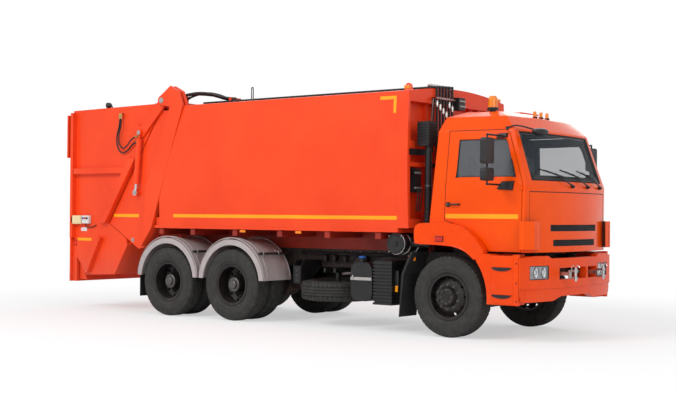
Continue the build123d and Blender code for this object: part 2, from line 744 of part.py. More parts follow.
def make_container():
    rear_end = hinge_x - bar_w
    outer = body_tube((rear_end, body_front_x), 0)
    inner = body_tube((rear_end - over, body_front_x + over), wall)
    shell = outer - inner
    reach = body_half + 3 * body_bulge
    slope = (rear_top_x - rear_foot_x) / (body_top - rear_foot_z)
    cut_top = body_top + 2 * body_crown
    cut_foot = rear_foot_z - body_crown
    cut_rear = rear_end - 9 * over
    behind = side_plate(
        [
            (rear_foot_x - slope * body_crown, cut_foot), (rear_top_x + 2 * slope * body_crown, cut_top),
            (cut_rear, cut_top), (cut_rear, cut_foot),
        ],
        (-reach, reach),
    )
    roof_zone = block((rear_end - over, body_front_x + over), (-reach, reach), (body_top - wall, cut_top))
    floor_z = (body_bottom - over, body_bottom + wall)
    floor_zone = block((cut_rear, body_front_x + over), (-reach, reach), floor_z)
    write("container_sides", shell - roof_zone - floor_zone - behind)
    roof = shell & roof_zone
    for ys in ((post_in_y - plate_gap, reach), (-reach, plate_gap - post_in_y)):
        roof -= block((rear_end - over, rear_top_x), ys, (body_top - body_crown, cut_top))
    write("container_roof", roof)

    floor_end = hinge_x - floor_share * tail_length
    floor_half = post_in_y - seat_gap
    plate = block((floor_end, body_front_x), (-floor_half, floor_half), (subframe_top, body_bottom + wall))
    for facing in (-1, 1):
        edge_y = sorted((facing * (post_in_y - bar_w), facing * (body_half - seat_gap)))
        edge_z = (body_bottom - wall / 2, body_bottom + wall)
        plate += block((rear_foot_x + bar_w, body_front_x), edge_y, edge_z)
    write("container_floor", plate)


front_beam_low = 3055.0
front_beams = ((2200.0, 2260.0), (2440.0, 2540.0))
front_rib_shares = (-0.55, -0.36, 0.36, 0.55)
front_rib_w = 56.0


def make_front_frame():
    """The container's front: a flush rim, a panel set back in it, beams and ribs."""
    x = (body_front_x, front_frame_x)
    foot_z = body_bottom + bar_w
    recess_half = body_half - wall
    through_x = (x[0] - over, x[1] + over)
    rim = body_tube(x, 0)
    rim -= block(through_x, (-recess_half, recess_half), (foot_z + 3 * bar_w, front_beam_low))
    rim -= block(through_x, (-2 * body_half, 2 * body_half), (body_bottom - over, foot_z))
    panel_z = (foot_z, front_beam_low + bar_w)
    frame = rim + block((x[0], x[0] + wall), (-recess_half - wall / 2, recess_half + wall / 2), panel_z)
    for beam_z in front_beams:
        frame += block((x[0], x[1] - bar_w), (-recess_half - wall / 2, recess_half + wall / 2), beam_z)
    for share in front_rib_shares:
        frame += block((x[0], x[0] + 3 * wall), spread(share * body_half, front_rib_w / 2), panel_z)
    write("container_front", frame)


eye_x = body_front_x - 200.0
eye_y = 690.0
eye_r = 55.0
eye_bore_r = 28.0
eye_t = 24.0
eye_z = 3300.0


def make_lifting_eyes():
    eyes = []
    for facing in (-1, 1):
        y = spread(facing * eye_y, eye_t / 2)
        eye = cross_rod(eye_x, eye_z, eye_r, y)
        foot = [
            (eye_x - 1.6 * eye_r, body_top), (eye_x + 1.6 * eye_r, body_top),
            (eye_x + eye_r, eye_z), (eye_x - eye_r, eye_z),
        ]
        eye += side_plate(foot, y)
        eye -= cross_rod(eye_x, eye_z, eye_bore_r, (y[0] - over, y[1] + over))
        eye -= body_tube(spread(eye_x, 3 * eye_r), -seat_gap)
        eyes += list(eye.solids())
    write("lifting_eyes", Compound(eyes))


# Rear posts, gussets and hinge plates of the container

def make_rear_posts():
    inner_y = (side_in_y + plate_gap, arm_in_y - plate_gap)
    outer_plate_y = (arm_out_y + plate_gap, post_out_y)
    right = side_plate(rear_points(post_shares), (post_in_y, post_out_y))
    right += side_plate(rear_points(gusset_shares), (post_in_y, gusset_out_y))
    for y in (inner_y, outer_plate_y):
        right += side_plate(rear_points(hinge_plate_shares), y)
        right += cross_rod(hinge_x, hinge_z, hinge_boss_r, y)
    right += cross_rod(hinge_x, hinge_z, hinge_pin_r, (inner_y[0], post_out_y + plate_gap))
    foot_y = (gusset_out_y - plate_gap, lift_y - lift_rod_r - plate_gap)
    right += cross_rod(lift_foot_x, lift_foot_z, 1.1 * lift_eye_r, foot_y)
    write("rear_posts", both_sides(right))


# Tailgate

tail_post_w = 96.0
tail_rail_w = 60.0
tail_box_h = 80.0
sill_h = 84.0
lug_shares = (0.17, 0.72)


def make_tailgate():
    side = side_plate(rear_points(side_shares), (side_in_y, side_out_y))
    skin_y = (side_out_y - plate_gap, post_out_y - plate_gap)
    for shares in (ledge_shares, bar_shares, rib_shares):
        side += side_plate(rear_points(shares), skin_y)
    arm_y = (arm_in_y, arm_out_y)
    arm = strut((hinge_x, hinge_z), (lift_top_x, lift_top_z), 2 * hinge_boss_r, arm_y)
    root = (lift_top_x - hinge_boss_r, lift_top_z + hinge_boss_r)
    arm += strut(root, (lift_top_x, lift_top_z), 1.6 * hinge_boss_r, (side_out_y - plate_gap, arm_out_y))
    arm -= cross_rod(hinge_x, hinge_z, hinge_pin_r + running_gap, (arm_in_y - over, arm_out_y + over))
    arm += cross_rod(lift_top_x, lift_top_z, lift_pin_r, (arm_in_y, post_out_y + plate_gap))
    side += arm
    back_x = hinge_x - tail_length
    foot_z = side_shares[2][1] * hinge_z
    side += block((back_x, back_x + tail_post_w), (side_in_y, side_out_y), (underrun_z[0], foot_z))
    side += block((back_x, back_x + tail_rail_w), skin_y, (0.35 * hinge_z, 0.97 * hinge_z))
    write("tailgate_sides", both_sides(side))

    roof = side_plate(rear_points(roof_lip_shares), (-side_in_y, side_in_y))
    roof_z = roof_lip_shares[0][1] * hinge_z
    box_x = (hinge_x - 0.30 * tail_length, hinge_x - 0.08 * tail_length)
    roof += block(box_x, spread(0, 0.7 * side_in_y), (roof_z - bar_w, roof_z + tail_box_h))
    write("tailgate_roof", roof)

    outline = rear_points(hopper_shares)
    inner = [
        (outline[0][0] + wall, outline[0][1]), (outline[1][0] + wall, outline[1][1] + wall / 2),
        (outline[2][0] + wall / 2, outline[2][1] + wall), (outline[3][0] - wall / 2, outline[3][1] + wall),
        (outline[4][0] - wall, outline[4][1]),
    ]
    hopper = side_plate(outline + inner[::-1], (-side_in_y, side_in_y))
    sill = outline[0]
    hopper += block((sill[0], sill[0] + 2 * wall), (-side_in_y, side_in_y), (sill[1] - sill_h, sill[1]))
    post_x = (back_x + wall, back_x + 3 * wall)
    hopper += block(post_x, (-side_in_y, side_in_y), underrun_z)
    for facing in (-1, 1):
        y = facing * side_in_y * 0.55
        hopper += block(post_x, spread(y, wall), (underrun_z[0], outline[1][1] + bar_w))
        for share in lug_shares:
            lug_y = spread(facing * side_in_y * share, wall / 2)
            lug = strut((sill[0] + wall, sill[1] - wall), (bin_pivot_x, bin_pivot_z), 2.2 * wall, lug_y)
            bore_y = (lug_y[0] - over, lug_y[1] + over)
            lug -= cross_rod(bin_pivot_x, bin_pivot_z, bin_pin_r + running_gap, bore_y)
            hopper += lug
    write("hopper", hopper)


def make_lift():
    dx = lift_foot_x - lift_top_x
    dz = lift_foot_z - lift_top_z
    span = (dx**2 + dz**2) ** 0.5
    ux = dx / span
    uz = dz / span
    tilt = degrees(atan2(dx, dz))
    eye_y = spread(lift_y + plate_gap, lift_pin_r)

    def along(distance, radius, length):
        middle = distance + length / 2
        place = Pos(lift_top_x + ux * middle, lift_y, lift_top_z + uz * middle) * Rot(0, tilt, 0)
        return place * Cylinder(radius, length)

    start = hinge_boss_r + lift_pin_r
    barrel = along(start, lift_barrel_r, span - start - 3.2 * lift_barrel_r)
    barrel -= along(start + bar_w, lift_rod_r + running_gap, span)
    barrel += along(lift_eye_r - sheet_t, lift_rod_r - plate_gap, start)
    barrel += cross_rod(lift_top_x, lift_top_z, lift_eye_r, eye_y)
    barrel -= cross_rod(lift_top_x, lift_top_z, lift_pin_r + running_gap, (eye_y[0] - over, eye_y[1] + over))
    write("lift_barrels", both_sides(barrel))

    rod_start = start + 1.2 * bar_w
    rod = along(rod_start, lift_rod_r, span - rod_start - lift_pin_r)
    rod += cross_rod(lift_foot_x, lift_foot_z, lift_eye_r, eye_y)
    write("lift_rods", both_sides(rod))


# Packer plates inside the tailgate

line_x = -(gusset_shares[2][0] * tail_length)
line_z = gusset_shares[2][1] * hinge_z - hinge_z
line_length = (line_x**2 + line_z**2) ** 0.5
slide_x = line_x / line_length
slide_z = line_z / line_length
packer_offset = 220.0
pivot_down = 1385.0
blade_turn = -50.0
shoe_half = 60.0
shoe_t = 90.0
shoe_corners = ((-1, -1), (1, -1), (1, 1), (-1, 1))  # ends along the guide, sides across it
ear_shares = (-0.9, -0.3, 0.3, 0.9)
blade_ear_shares = (-0.6, 0.0, 0.6)


def guide_point(along, across):
    """A place measured from the hinge down the tailgate's front line, and rearward from it."""
    return (hinge_x + slide_x * along + slide_z * across, hinge_z + slide_z * along - slide_x * across)


def make_packer():
    low = pivot_down - 1.4 * hinge_boss_r
    high = pivot_down - carriage_length
    half_t = carriage_t / 2
    pivot = guide_point(pivot_down, packer_offset)
    corners = [
        guide_point(high, packer_offset - half_t), guide_point(high, packer_offset + half_t),
        guide_point(low, packer_offset + half_t), guide_point(low, packer_offset - half_t),
    ]
    carriage = side_plate(corners, (-packer_half, packer_half))
    for share in (0.12, 0.88):
        foot = high + share * (low - high)
        shoe = [
            guide_point(foot + end * shoe_half, packer_offset + across * shoe_t / 2)
            for end, across in shoe_corners
        ]
        carriage += side_plate(shoe, (seat_gap - side_in_y, side_in_y - seat_gap))
    root = guide_point(pivot_down - 2 * hinge_boss_r, packer_offset)
    for share in ear_shares:
        carriage += strut(root, pivot, hinge_boss_r * 1.3, spread(share * packer_half, wall))
    bore_y = (-packer_half - over, packer_half + over)
    carriage -= cross_rod(pivot[0], pivot[1], hinge_pin_r + running_gap, bore_y)
    write("packer_carriage", carriage)

    turn = radians(blade_turn)
    tip = (pivot[0] + blade_length * cos(turn), pivot[1] + blade_length * sin(turn))
    near = (pivot[0] + 0.22 * (tip[0] - pivot[0]), pivot[1] + 0.22 * (tip[1] - pivot[1]))
    blade = cross_rod(pivot[0], pivot[1], hinge_pin_r, (-packer_half + wall, packer_half - wall))
    blade += strut(near, tip, hinge_boss_r * 0.9, (-packer_half, packer_half))
    ear_half = 0.15 * packer_half - wall
    for share in blade_ear_shares:
        blade += strut(pivot, tip, hinge_boss_r * 1.2, spread(share * packer_half, ear_half))
    write("packer_blade", blade)


ejector_t = 60.0
ejector_rest = 160.0  # room between the raked face's top and the container's front
ejector_rib_t = 40.0
ejector_headroom = 80.0


def make_ejector():
    slope = slide_x / slide_z
    low = body_bottom + wall + seat_gap
    high = body_top - wall - ejector_headroom
    rise = high - low
    foot_x = body_front_x - bar_w / 2 - slope * rise - ejector_rest
    top_x = foot_x + slope * rise
    half = post_in_y - 3 * plate_gap
    face = side_plate(
        [(foot_x, low), (top_x, high), (top_x + ejector_t, high), (foot_x + ejector_t, low)], (-half, half),
    )
    rear_x = body_front_x - bar_w / 2
    rib = [
        (foot_x + ejector_t / 2, low), (rear_x, low), (rear_x, low + ejector_rest),
        (top_x + ejector_t / 2, high - bar_w),
    ]
    for share in (-0.75, 0.75):
        face += side_plate(rib, spread(share * half, ejector_rib_t / 2))
    write("ejector", face)


# Bin lift at the loading sill

comb_shares = (-0.82, -0.5, 0.0, 0.5, 0.82)
bin_plate_t = 20.0
bin_foot_share = 0.245


def make_bin_lift():
    half = side_in_y * 0.62
    foot_z = bin_foot_share * hinge_z
    arm_z = bin_pivot_z - bar_w
    lift = cross_rod(bin_pivot_x, bin_pivot_z, bin_pin_r, spread(0, 0.86 * side_in_y))
    lift += block((lift_rear_x, lift_rear_x + bin_plate_t), (-half, half), (foot_z, arm_z - bar_w))
    lift += block((lift_rear_x, bin_pivot_x), (-half, half), (foot_z, foot_z + bar_w))
    root = (bin_pivot_x - 0.4 * bar_w, arm_z - 0.6 * bar_w)
    for share in comb_shares:
        y = spread(share * half, wall / 2)
        lift += block((lift_rear_x, bin_pivot_x + wall), y, (foot_z + bar_w, arm_z))
        lift += strut(root, (bin_pivot_x, bin_pivot_z), 1.8 * wall, y)
    write("bin_lift", lift)


# Cab

grille_slot_h = 80.0
grille_bars = 14
grille_bar_t = 8.0
grille_set = 18.0
grille_depth = 24.0


def cab_solid(inset, low_z, high_z):
    sections = []
    for sz, s_rear, s_front, s_corner, s_back, s_side in cab_level_shares:
        z = cab_bottom + sz * cab_height
        rear = cab_rear_x + s_rear * cab_length + inset
        front = cab_rear_x + s_front * cab_length - inset
        corner = cab_rear_x + s_corner * cab_length - inset
        back = s_back * cab_half - inset
        side = s_side * cab_half - inset
        edges = [
            Line((rear, -back, z), (corner, -side, z)),
            ThreePointArc((corner, -side, z), (front, 0, z), (corner, side, z)),
            Line((corner, side, z), (rear, back, z)),
            Line((rear, back, z), (rear, -back, z)),
        ]
        sections.append(make_face(Wire(edges)))
    body = loft(sections, ruled=True)
    reach = 2 * cab_length
    keep = block((cab_rear_x - reach, cab_rear_x + reach), (-reach, reach), (low_z, high_z))
    return body & keep


def windscreen_zone():
    low = 0.500
    high = 0.845
    half = 0.84
    points = [(-half, low), (half, low), (half * 0.965, high), (-half * 0.965, high)]
    start_x = cab_rear_x + 0.70 * cab_length
    corners = [(start_x, sy * cab_half, cab_bottom + sz * cab_height) for sy, sz in points]
    return extrude(make_face(Polyline(*corners, close=True)), amount=0.4 * cab_length, dir=(1, 0, 0))


def grown(shares, amount):
    points = cab_points(shares)
    wire = Polyline(*[(x, z) for x, z in points], close=True)
    face = offset(make_face(wire), amount=amount, kind=Kind.INTERSECTION)
    edges = face.faces()[0].outer_wire().order_edges()
    return [(edge.position_at(0).X, edge.position_at(0).Y) for edge in edges]


def deflectors(outer):
    """The wedges at the front corners that turn the wind round the cab."""
    z = [cab_bottom + share * cab_height for share in deflector_z_shares]
    plan = [(cab_rear_x + sx * cab_length, -sy * cab_half, z[0]) for sx, sy in deflector_shares]
    wedge = extrude(make_face(Polyline(*plan, close=True)), amount=z[1] - z[0], dir=(0, 0, 1))
    return both_sides(wedge - outer)


def grille_slots():
    start_x = cab_rear_x + 0.86 * cab_length
    slots = []
    for height, half in grille_shares:
        z = spread(cab_bottom + height * cab_height, grille_slot_h / 2)
        slots.append(block((start_x, cab_front_x + over), spread(0, half * cab_half), z))
    return slots


def grille_lattice(walls):
    """Upright bars, set back from the cab's face in its air slots."""
    lattice = []
    start_x = cab_rear_x + 0.86 * cab_length
    for height, half in grille_shares:
        z = spread(cab_bottom + height * cab_height, grille_slot_h / 2 + grille_bar_t)
        for index in range(grille_bars):
            y = half * cab_half * (2 * (index + 0.5) / grille_bars - 1)
            lattice.append(block((start_x, cab_front_x), spread(y, grille_bar_t / 2), z))
    depth = cab_solid(grille_set, cab_bottom, cab_floor_z)
    depth -= cab_solid(grille_set + grille_depth, cab_bottom - over, cab_floor_z + over)
    return [piece for bar in lattice for piece in (walls & depth & bar).solids()]


def door_pins(x, facing, radius, ends):
    pins = []
    for low, high in door_pin_shares:
        z = (cab_bottom + low * cab_height - ends, cab_bottom + high * cab_height + ends)
        pins.append(up_rod(x, facing * door_pin_y, radius, z))
    return pins


def make_cab():
    top = cab_bottom + cab_height
    outer = cab_solid(0, cab_bottom, top)
    room = cab_solid(cab_wall, cab_floor_z, top - cab_wall)
    within = cab_solid(cab_wall, cab_bottom - over, top)
    jamb = cab_solid(cab_wall + door_gap, cab_bottom - over, top)
    under_top = cab_floor_z - cab_wall
    side_share = cab_level_shares[2][5]
    under_x = (cab_rear_x - over, cab_rear_x + 0.87 * cab_length)
    under = block(under_x, spread(0, side_share * cab_half), (cab_bottom - over, under_top))
    behind_x = (cab_rear_x - over, cab_rear_x + 0.14 * cab_length)
    behind = block(behind_x, (-2 * cab_half, 2 * cab_half), (cab_bottom - over, under_top - bar_w))
    walls = outer - room - under
    screen = windscreen_zone()
    arch = cab_points(fender_shares)
    arch += [(arch[-1][0], cab_bottom - over), (arch[0][0], cab_bottom - over)]
    wheel_clear = side_plate(arch, (-2 * cab_half, 2 * cab_half))
    floor_x = (cab_rear_x - cab_half, cab_front_x)
    floor_slab = block(floor_x, (-2 * cab_half, 2 * cab_half), (under_top - seat_gap, top))
    body = walls - behind - (wheel_clear - floor_slab) - screen
    zones = {}
    for side, facing in (("right", -1), ("left", 1)):
        ys = sorted((facing * 0.6 * cab_half, facing * 1.2 * cab_half))
        leaf = side_plate(cab_points(door_shares), ys)
        window = side_plate(cab_points(window_shares), ys)
        zones[side] = (facing, leaf, window)
        body -= side_plate(grown(door_shares, door_gap), ys) - jamb
    lattice = grille_lattice(walls)
    body = body - grille_slots() + lattice
    slot_y = (cab_ear_y[0] - 2 * plate_gap, cab_ear_y[1] + 2 * plate_gap)
    slot_x = (cab_pivot_x - 4 * cab_ear_r, cab_pivot_x + cab_ear_r + plate_gap)
    slot_z = (cab_bottom - over, cab_pivot_z + cab_ear_r + 2 * plate_gap)
    body -= both_sides(block(slot_x, slot_y, slot_z))
    pin_y = (slot_y[0] - plate_gap, slot_y[1] + plate_gap)
    body += both_sides(cross_rod(cab_pivot_x, cab_pivot_z, cab_pin_r, pin_y))
    body += deflectors(outer)
    door_pin_x = cab_points(door_shares)[4][0]
    for facing in (-1, 1):
        body -= door_pins(door_pin_x, facing, door_pin_r + seat_gap, seat_gap)
    write("cab_shell", body)

    glass = cab_solid(cab_wall / 3, cab_floor_z, top)
    glass -= cab_solid(cab_wall / 3 + glass_t, cab_floor_z - over, top + over)
    write("windscreen", glass & screen)
    for side, (facing, leaf, window) in zones.items():
        door = (outer & leaf) - within - under - window - wheel_clear
        door += door_pins(door_pin_x, facing, door_pin_r, 0)
        write(f"door_{side}", door)
        write(f"door_glass_{side}", glass & window)


fender_turns = (148, 130, 112, 94, 76, 58, 47)  # places round the wheel, in degrees from straight ahead
fender_lap = 40.0
liner_t = 20.0


def make_fenders():
    outer = cab_points(fender_shares)
    arc = []
    for turn in fender_turns:
        x = front_axle_x + 0.64 * wheel_d * cos(radians(turn))
        arc.append((x, wheel_z + 0.63 * wheel_d * sin(radians(turn))))
    arc[0] = (outer[0][0] + liner_t, outer[0][1])
    skin = side_plate(outer + arc[::-1], (-fender_out_y, -cab_half))
    liner = arc[2:]
    liner_top = [(x, z + liner_t) for x, z in liner]
    skin += side_plate(liner + liner_top[::-1], (-cab_half - fender_lap, -fender_in_y))
    write("cab_fenders", both_sides(skin))


dash_h = 480.0
dash_lip = 120.0
dash_depth = 160.0
seat_y = 590.0
seat_base = (240.0, 400.0, 280.0)
seat_pad = (480.0, 480.0, 120.0)
seat_back = (120.0, 480.0, 600.0)
seat_round = 40.0
steering_r = 220.0
steering_t = 18.0
steering_column = 320.0
steering_rake = -28.0


def make_cab_inside():
    dash_x = cab_rear_x + 0.80 * cab_length
    dash_z = (cab_floor_z, cab_floor_z + dash_h - dash_lip, cab_floor_z + dash_h)
    dash = side_plate(
        [
            (dash_x, dash_z[1]), (dash_x + dash_lip / 2, dash_z[2]), (dash_x + dash_depth, dash_z[2]),
            (dash_x + dash_depth, dash_z[0]), (dash_x + dash_lip / 2, dash_z[0]),
        ],
        spread(0, 0.86 * cab_half),
    )
    dash = dash & cab_solid(cab_wall + seat_gap, cab_floor_z, cab_bottom + cab_height)
    wheel = Torus(steering_r, steering_t) + Cylinder(steering_t, 2 * steering_r, rotation=(90, 0, 0))
    wheel += Cylinder(2 * steering_t, 2 * steering_t)
    wheel += Pos(0, 0, -steering_column / 2) * Cylinder(1.4 * steering_t, steering_column)
    place = Pos(cab_rear_x + 0.72 * cab_length, seat_y, cab_floor_z + dash_h) * Rot(0, steering_rake, 0)
    write("dashboard", dash + place * wheel)

    seat_x = cab_rear_x + 0.30 * cab_length
    seats = None
    for facing in (-1, 1):
        y = facing * seat_y
        base_top = cab_floor_z + seat_base[2]
        base = block((seat_x, seat_x + seat_base[0]), spread(y, seat_base[1] / 2), (cab_floor_z, base_top))
        pad_x = spread(seat_x + seat_base[0] / 2 + seat_round, seat_pad[0] / 2)
        pad_z = (base_top, base_top + seat_pad[2])
        pad = side_box(pad_x, spread(y, seat_pad[1] / 2), pad_z, seat_round, Axis.Y)
        back_x = (pad_x[0] - seat_back[0] / 2, pad_x[0] + seat_back[0] / 2)
        back_z = (base_top + seat_round, base_top + seat_round + seat_back[2])
        back = side_box(back_x, spread(y, seat_back[1] / 2), back_z, seat_round, Axis.X)
        seat = base + pad + back
        seats = seat if seats is None else seats + seat
    write("seats", seats)


roof_lamp_pitch = 60.0
roof_lamp_w = 27.0
roof_lamp_h = 140.0
beacon_r = 62.0
beacon_stem_r = 40.0
beacon_h = (130.0, 240.0)  # heights of the lamp's foot and of its dome above the roof's edge


def make_roof_lamps():
    roof_edge = cab_bottom + 0.955 * cab_height
    lamp_x = (cab_rear_x + 0.60 * cab_length, cab_rear_x + 0.63 * cab_length)
    lamps = None
    for index in (-1, 0, 1):
        lamp_y = spread(index * roof_lamp_pitch, roof_lamp_w / 2)
        lamp = block(lamp_x, lamp_y, (roof_edge, roof_edge + roof_lamp_h))
        lamps = lamp if lamps is None else lamps + lamp
    x = cab_rear_x + 0.40 * cab_length
    y = -0.52 * cab_half
    lamps += up_rod(x, y, beacon_stem_r, (roof_edge, roof_edge + beacon_h[0] + sheet_t))
    lamps += up_rod(x, y, beacon_r, (roof_edge + beacon_h[0], roof_edge + beacon_h[1]))
    lamps += Pos(x, y, roof_edge + beacon_h[1]) * Sphere(beacon_r)
    write("roof_lamps", lamps - cab_solid(0, cab_bottom, cab_bottom + cab_height))


mirror_share = 0.671  # place along the cab's length
mirror_y = 1420.0
mirror_z_shares = (0.609, 0.788)
wide_z_shares = (0.492, 0.581)
mirror_arms = ((0.469, 0.94), (0.810, 0.86))  # shares of the cab's height and half width
mirror_w = 200.0
mirror_t = 80.0
mirror_round = 36.0
tube_r = 12.0
elbow_r = 15.0


def make_mirrors():
    x = cab_rear_x + mirror_share * cab_length
    outer = cab_solid(0, cab_bottom, cab_bottom + cab_height)
    arm_z = [cab_bottom + share * cab_height for share, _ in mirror_arms]
    mirrors = up_rod(x, -mirror_y, tube_r, arm_z)
    for shares in (mirror_z_shares, wide_z_shares):
        z = [cab_bottom + share * cab_height for share in shares]
        mirrors += side_box(spread(x, mirror_t / 2), spread(-mirror_y, mirror_w / 2), z, mirror_round, Axis.X)
    for z, (_, start_share) in zip(arm_z, mirror_arms):
        mirrors += cross_rod(x, z, tube_r, (-mirror_y, -start_share * cab_half))
        mirrors += Pos(x, -mirror_y, z) * Sphere(elbow_r)
    mirrors = mirrors - outer
    write("mirrors_right", mirrors)
    write("mirrors_left", mirror(mirrors, about=Plane.XZ))


# Bumper, lamps, tow jaws and steps

def plan_shape(set_back, depth, z):
    """The bumper's curved plan between two heights, set back from its face and as deep as given."""
    side = bumper_side_x - set_back
    front = bumper_front_x - set_back
    half = bumper_half
    edges = [
        ThreePointArc((side, -half, z[0]), (front, 0, z[0]), (side, half, z[0])),
        Line((side, half, z[0]), (side - depth, half, z[0])),
        ThreePointArc((side - depth, half, z[0]), (front - depth, 0, z[0]), (side - depth, -half, z[0])),
        Line((side - depth, -half, z[0]), (side, -half, z[0])),
    ]
    return extrude(make_face(Wire(edges)), amount=z[1] - z[0], dir=(0, 0, 1))


crease_z = 660.0
crease_set = 14.0
vent_y = ((-440.0, 280.0), (340.0, 640.0))
vent_z = (765.0, 910.0)
bracket_t = 68.0
lamp_y = (685.0, 1064.0)
lamp_z = (780.0, 945.0)
lamp_set = 11.0
lamp_bowl_r = 66.0
lamp_bowls = (770.0, 930.0)
bowl_depth = 20.0
jaw_y = 390.0
jaw_half = 28.0
jaw_bore_r = 17.0
jaw_z = (775.0, 800.0, 862.0, 887.0)  # lower ear, gap, upper ear
jaw_shank_z = (frame_low + rail_t + seat_gap, 862.0)
jaw_root = 70.0


def bumper_front_view():
    height = bumper_top - bumper_foot
    half = [(sy * bumper_half, bumper_foot + sz * height) for sy, sz in bumper_shares]
    other = [(-y, z) for y, z in half[1:-1]]
    start_x = bumper_side_x - 2 * bumper_t
    corners = [(start_x, y, z) for y, z in half + other[::-1]]
    face = make_face(Polyline(*corners, close=True))
    return extrude(face, amount=bumper_front_x + over - start_x, dir=(1, 0, 0))


def make_bumper():
    bumper = plan_shape(0, bumper_t, (crease_z, bumper_top))
    bumper += plan_shape(crease_set, bumper_t - crease_set, (bumper_foot, crease_z))
    bumper = bumper & bumper_front_view()
    deep_x = (bumper_side_x - 2 * bumper_t, bumper_front_x + over)
    for y in vent_y:
        bumper -= block(deep_x, y, vent_z)
    end_y = (-bumper_half - over, -bumper_half + bumper_t / 2 + plate_gap)
    end_x = (deep_x[0], step_front_x + plate_gap)
    bumper -= both_sides(block(end_x, end_y, (bumper_foot - over, bumper_top + over)))
    lamps = None
    for facing in (-1, 1):
        bumper -= block(deep_x, sorted((facing * lamp_y[0], facing * lamp_y[1])), lamp_z)
        lens_y = sorted((facing * (lamp_y[0] + seat_gap), facing * (lamp_y[1] - seat_gap)))
        lens_z = (lamp_z[0] + seat_gap, lamp_z[1] - seat_gap)
        lens = plan_shape(lamp_set, bumper_t - 2 * lamp_set, lens_z) & block(deep_x, lens_y, lens_z)
        face = plan_shape(lamp_set - over, over + bowl_depth, lens_z)
        for y in lamp_bowls:
            rod = long_rod(facing * y, (lens_z[0] + lens_z[1]) / 2, lamp_bowl_r, deep_x)
            lens -= rod & face
        lamps = lens if lamps is None else lamps + lens
        bracket_y = sorted((facing * (frame_out_y - rail_t), facing * (frame_out_y - rail_t - bracket_t)))
        bracket_x = (frame_front_x, bumper_front_x - bumper_t)
        bumper += block(bracket_x, bracket_y, (vent_z[1], bumper_top - bar_w))
    write("bumper", bumper)
    write("headlamps", lamps)


def make_tow_jaws():
    jaws = None
    root_x = frame_front_x - front_cross_back + cross_w + seat_gap
    web_x = (jaw_pin_x - jaw_root - sheet_t, jaw_pin_x - jaw_root)
    for facing in (-1, 1):
        y = spread(facing * jaw_y, jaw_half - seat_gap)
        jaw = block((root_x, web_x[0] + sheet_t), y, jaw_shank_z)
        jaw += block((web_x[0] - sheet_t, web_x[1]), y, (jaw_z[0], jaw_z[3]))
        for z in (jaw_z[:2], jaw_z[2:]):
            jaw += block((web_x[0], jaw_pin_x), y, z)
            jaw += up_rod(jaw_pin_x, facing * jaw_y, jaw_r, z)
        jaw -= up_rod(jaw_pin_x, facing * jaw_y, jaw_bore_r, (jaw_z[0] - over, jaw_z[3] + over))
        jaws = jaw if jaws is None else jaws + jaw
    write("tow_jaws", jaws)


step_skin_t = 45.0
step_well_x = (front_axle_x + 685.0, front_axle_x + 993.0)
step_well_in_y = 985.0
step_well_foot = 528.0
step_wall = 12.0
tread_z = ((545.0, 575.0), (885.0, 915.0))
tread_teeth = 7
tooth_w = 12.0
tooth_h = 6.0


def make_steps():
    arch = [(front_axle_x + sx * wheel_d, sz * wheel_d) for sx, sz in step_arch_shares]
    low = arch[-1][1]
    top = arch[0][1]
    y = -step_half
    edges = [
        Line((arch[0][0], y, top), (arch[1][0], y, arch[1][1])),
        ThreePointArc((arch[1][0], y, arch[1][1]), (arch[2][0], y, arch[2][1]), (arch[3][0], y, low)),
        Line((arch[3][0], y, low), (step_front_x, y, low)),
        Line((step_front_x, y, low), (step_front_x, y, top)),
        Line((step_front_x, y, top), (arch[0][0], y, top)),
    ]
    panel = extrude(make_face(Wire(edges)), amount=step_skin_t, dir=(0, 1, 0))
    box_x = (step_rear_x, bumper_side_x - bumper_t - plate_gap)
    box = block(box_x, (-step_half, -step_well_in_y + 2 * step_wall), (low, top)) + panel
    box -= block(step_well_x, (-step_half - over, -step_half + step_skin_t), (step_well_foot, top + over))
    inner_x = (step_well_x[0], box_x[1] - step_wall)
    box -= block(inner_x, (-step_half - over, -step_well_in_y), (step_well_foot, top + over))
    tooth_pitch = (inner_x[1] - inner_x[0]) / (tread_teeth + 1)
    for z in tread_z:
        box += block(inner_x, (-step_half, -step_well_in_y), z)
        for index in range(tread_teeth):
            tooth_x = spread(inner_x[0] + (index + 1) * tooth_pitch, tooth_w / 2)
            tooth_y = (-step_half + step_wall, -step_well_in_y - 8 * step_wall)
            box += block(tooth_x, tooth_y, (z[1], z[1] + tooth_h))
    bracket_x = (box_x[0] + 2 * bar_w, box_x[1] - 2 * bar_w)
    bracket_y = (-step_well_in_y, -frame_out_y)
    box += block(bracket_x, bracket_y, (frame_top - 4 * bar_w, frame_top - 3 * bar_w))
    write("cab_steps", both_sides(box))


# Mudguards and flaps

guard_r = 640.0
guard_rise = 20.0
guard_in_y = 620.0
guard_out_y = 1245.0
guard_lip = 80.0
guard_t = 14.0
guard_foot = 605.0
flap_t = 10.0
flap_low_share = 0.26
# Flap behind the front wheel, as shares of the wheel's diameter (behind the axle, above the ground)
front_flap_shares = ((0.470, 1.03), (0.508, 1.03), (0.638, 0.76), (0.675, 0.22), (0.665, 0.22), (0.600, 0.76))


def ring_arc(x, z, outer, inner, y, low_z):
    ring = cross_rod(x, z, outer, y) - cross_rod(x, z, inner, (y[0] - over, y[1] + over))
    keep = block((x - 2 * outer, x + 2 * outer), y, (low_z, z + 2 * outer))
    return ring & keep


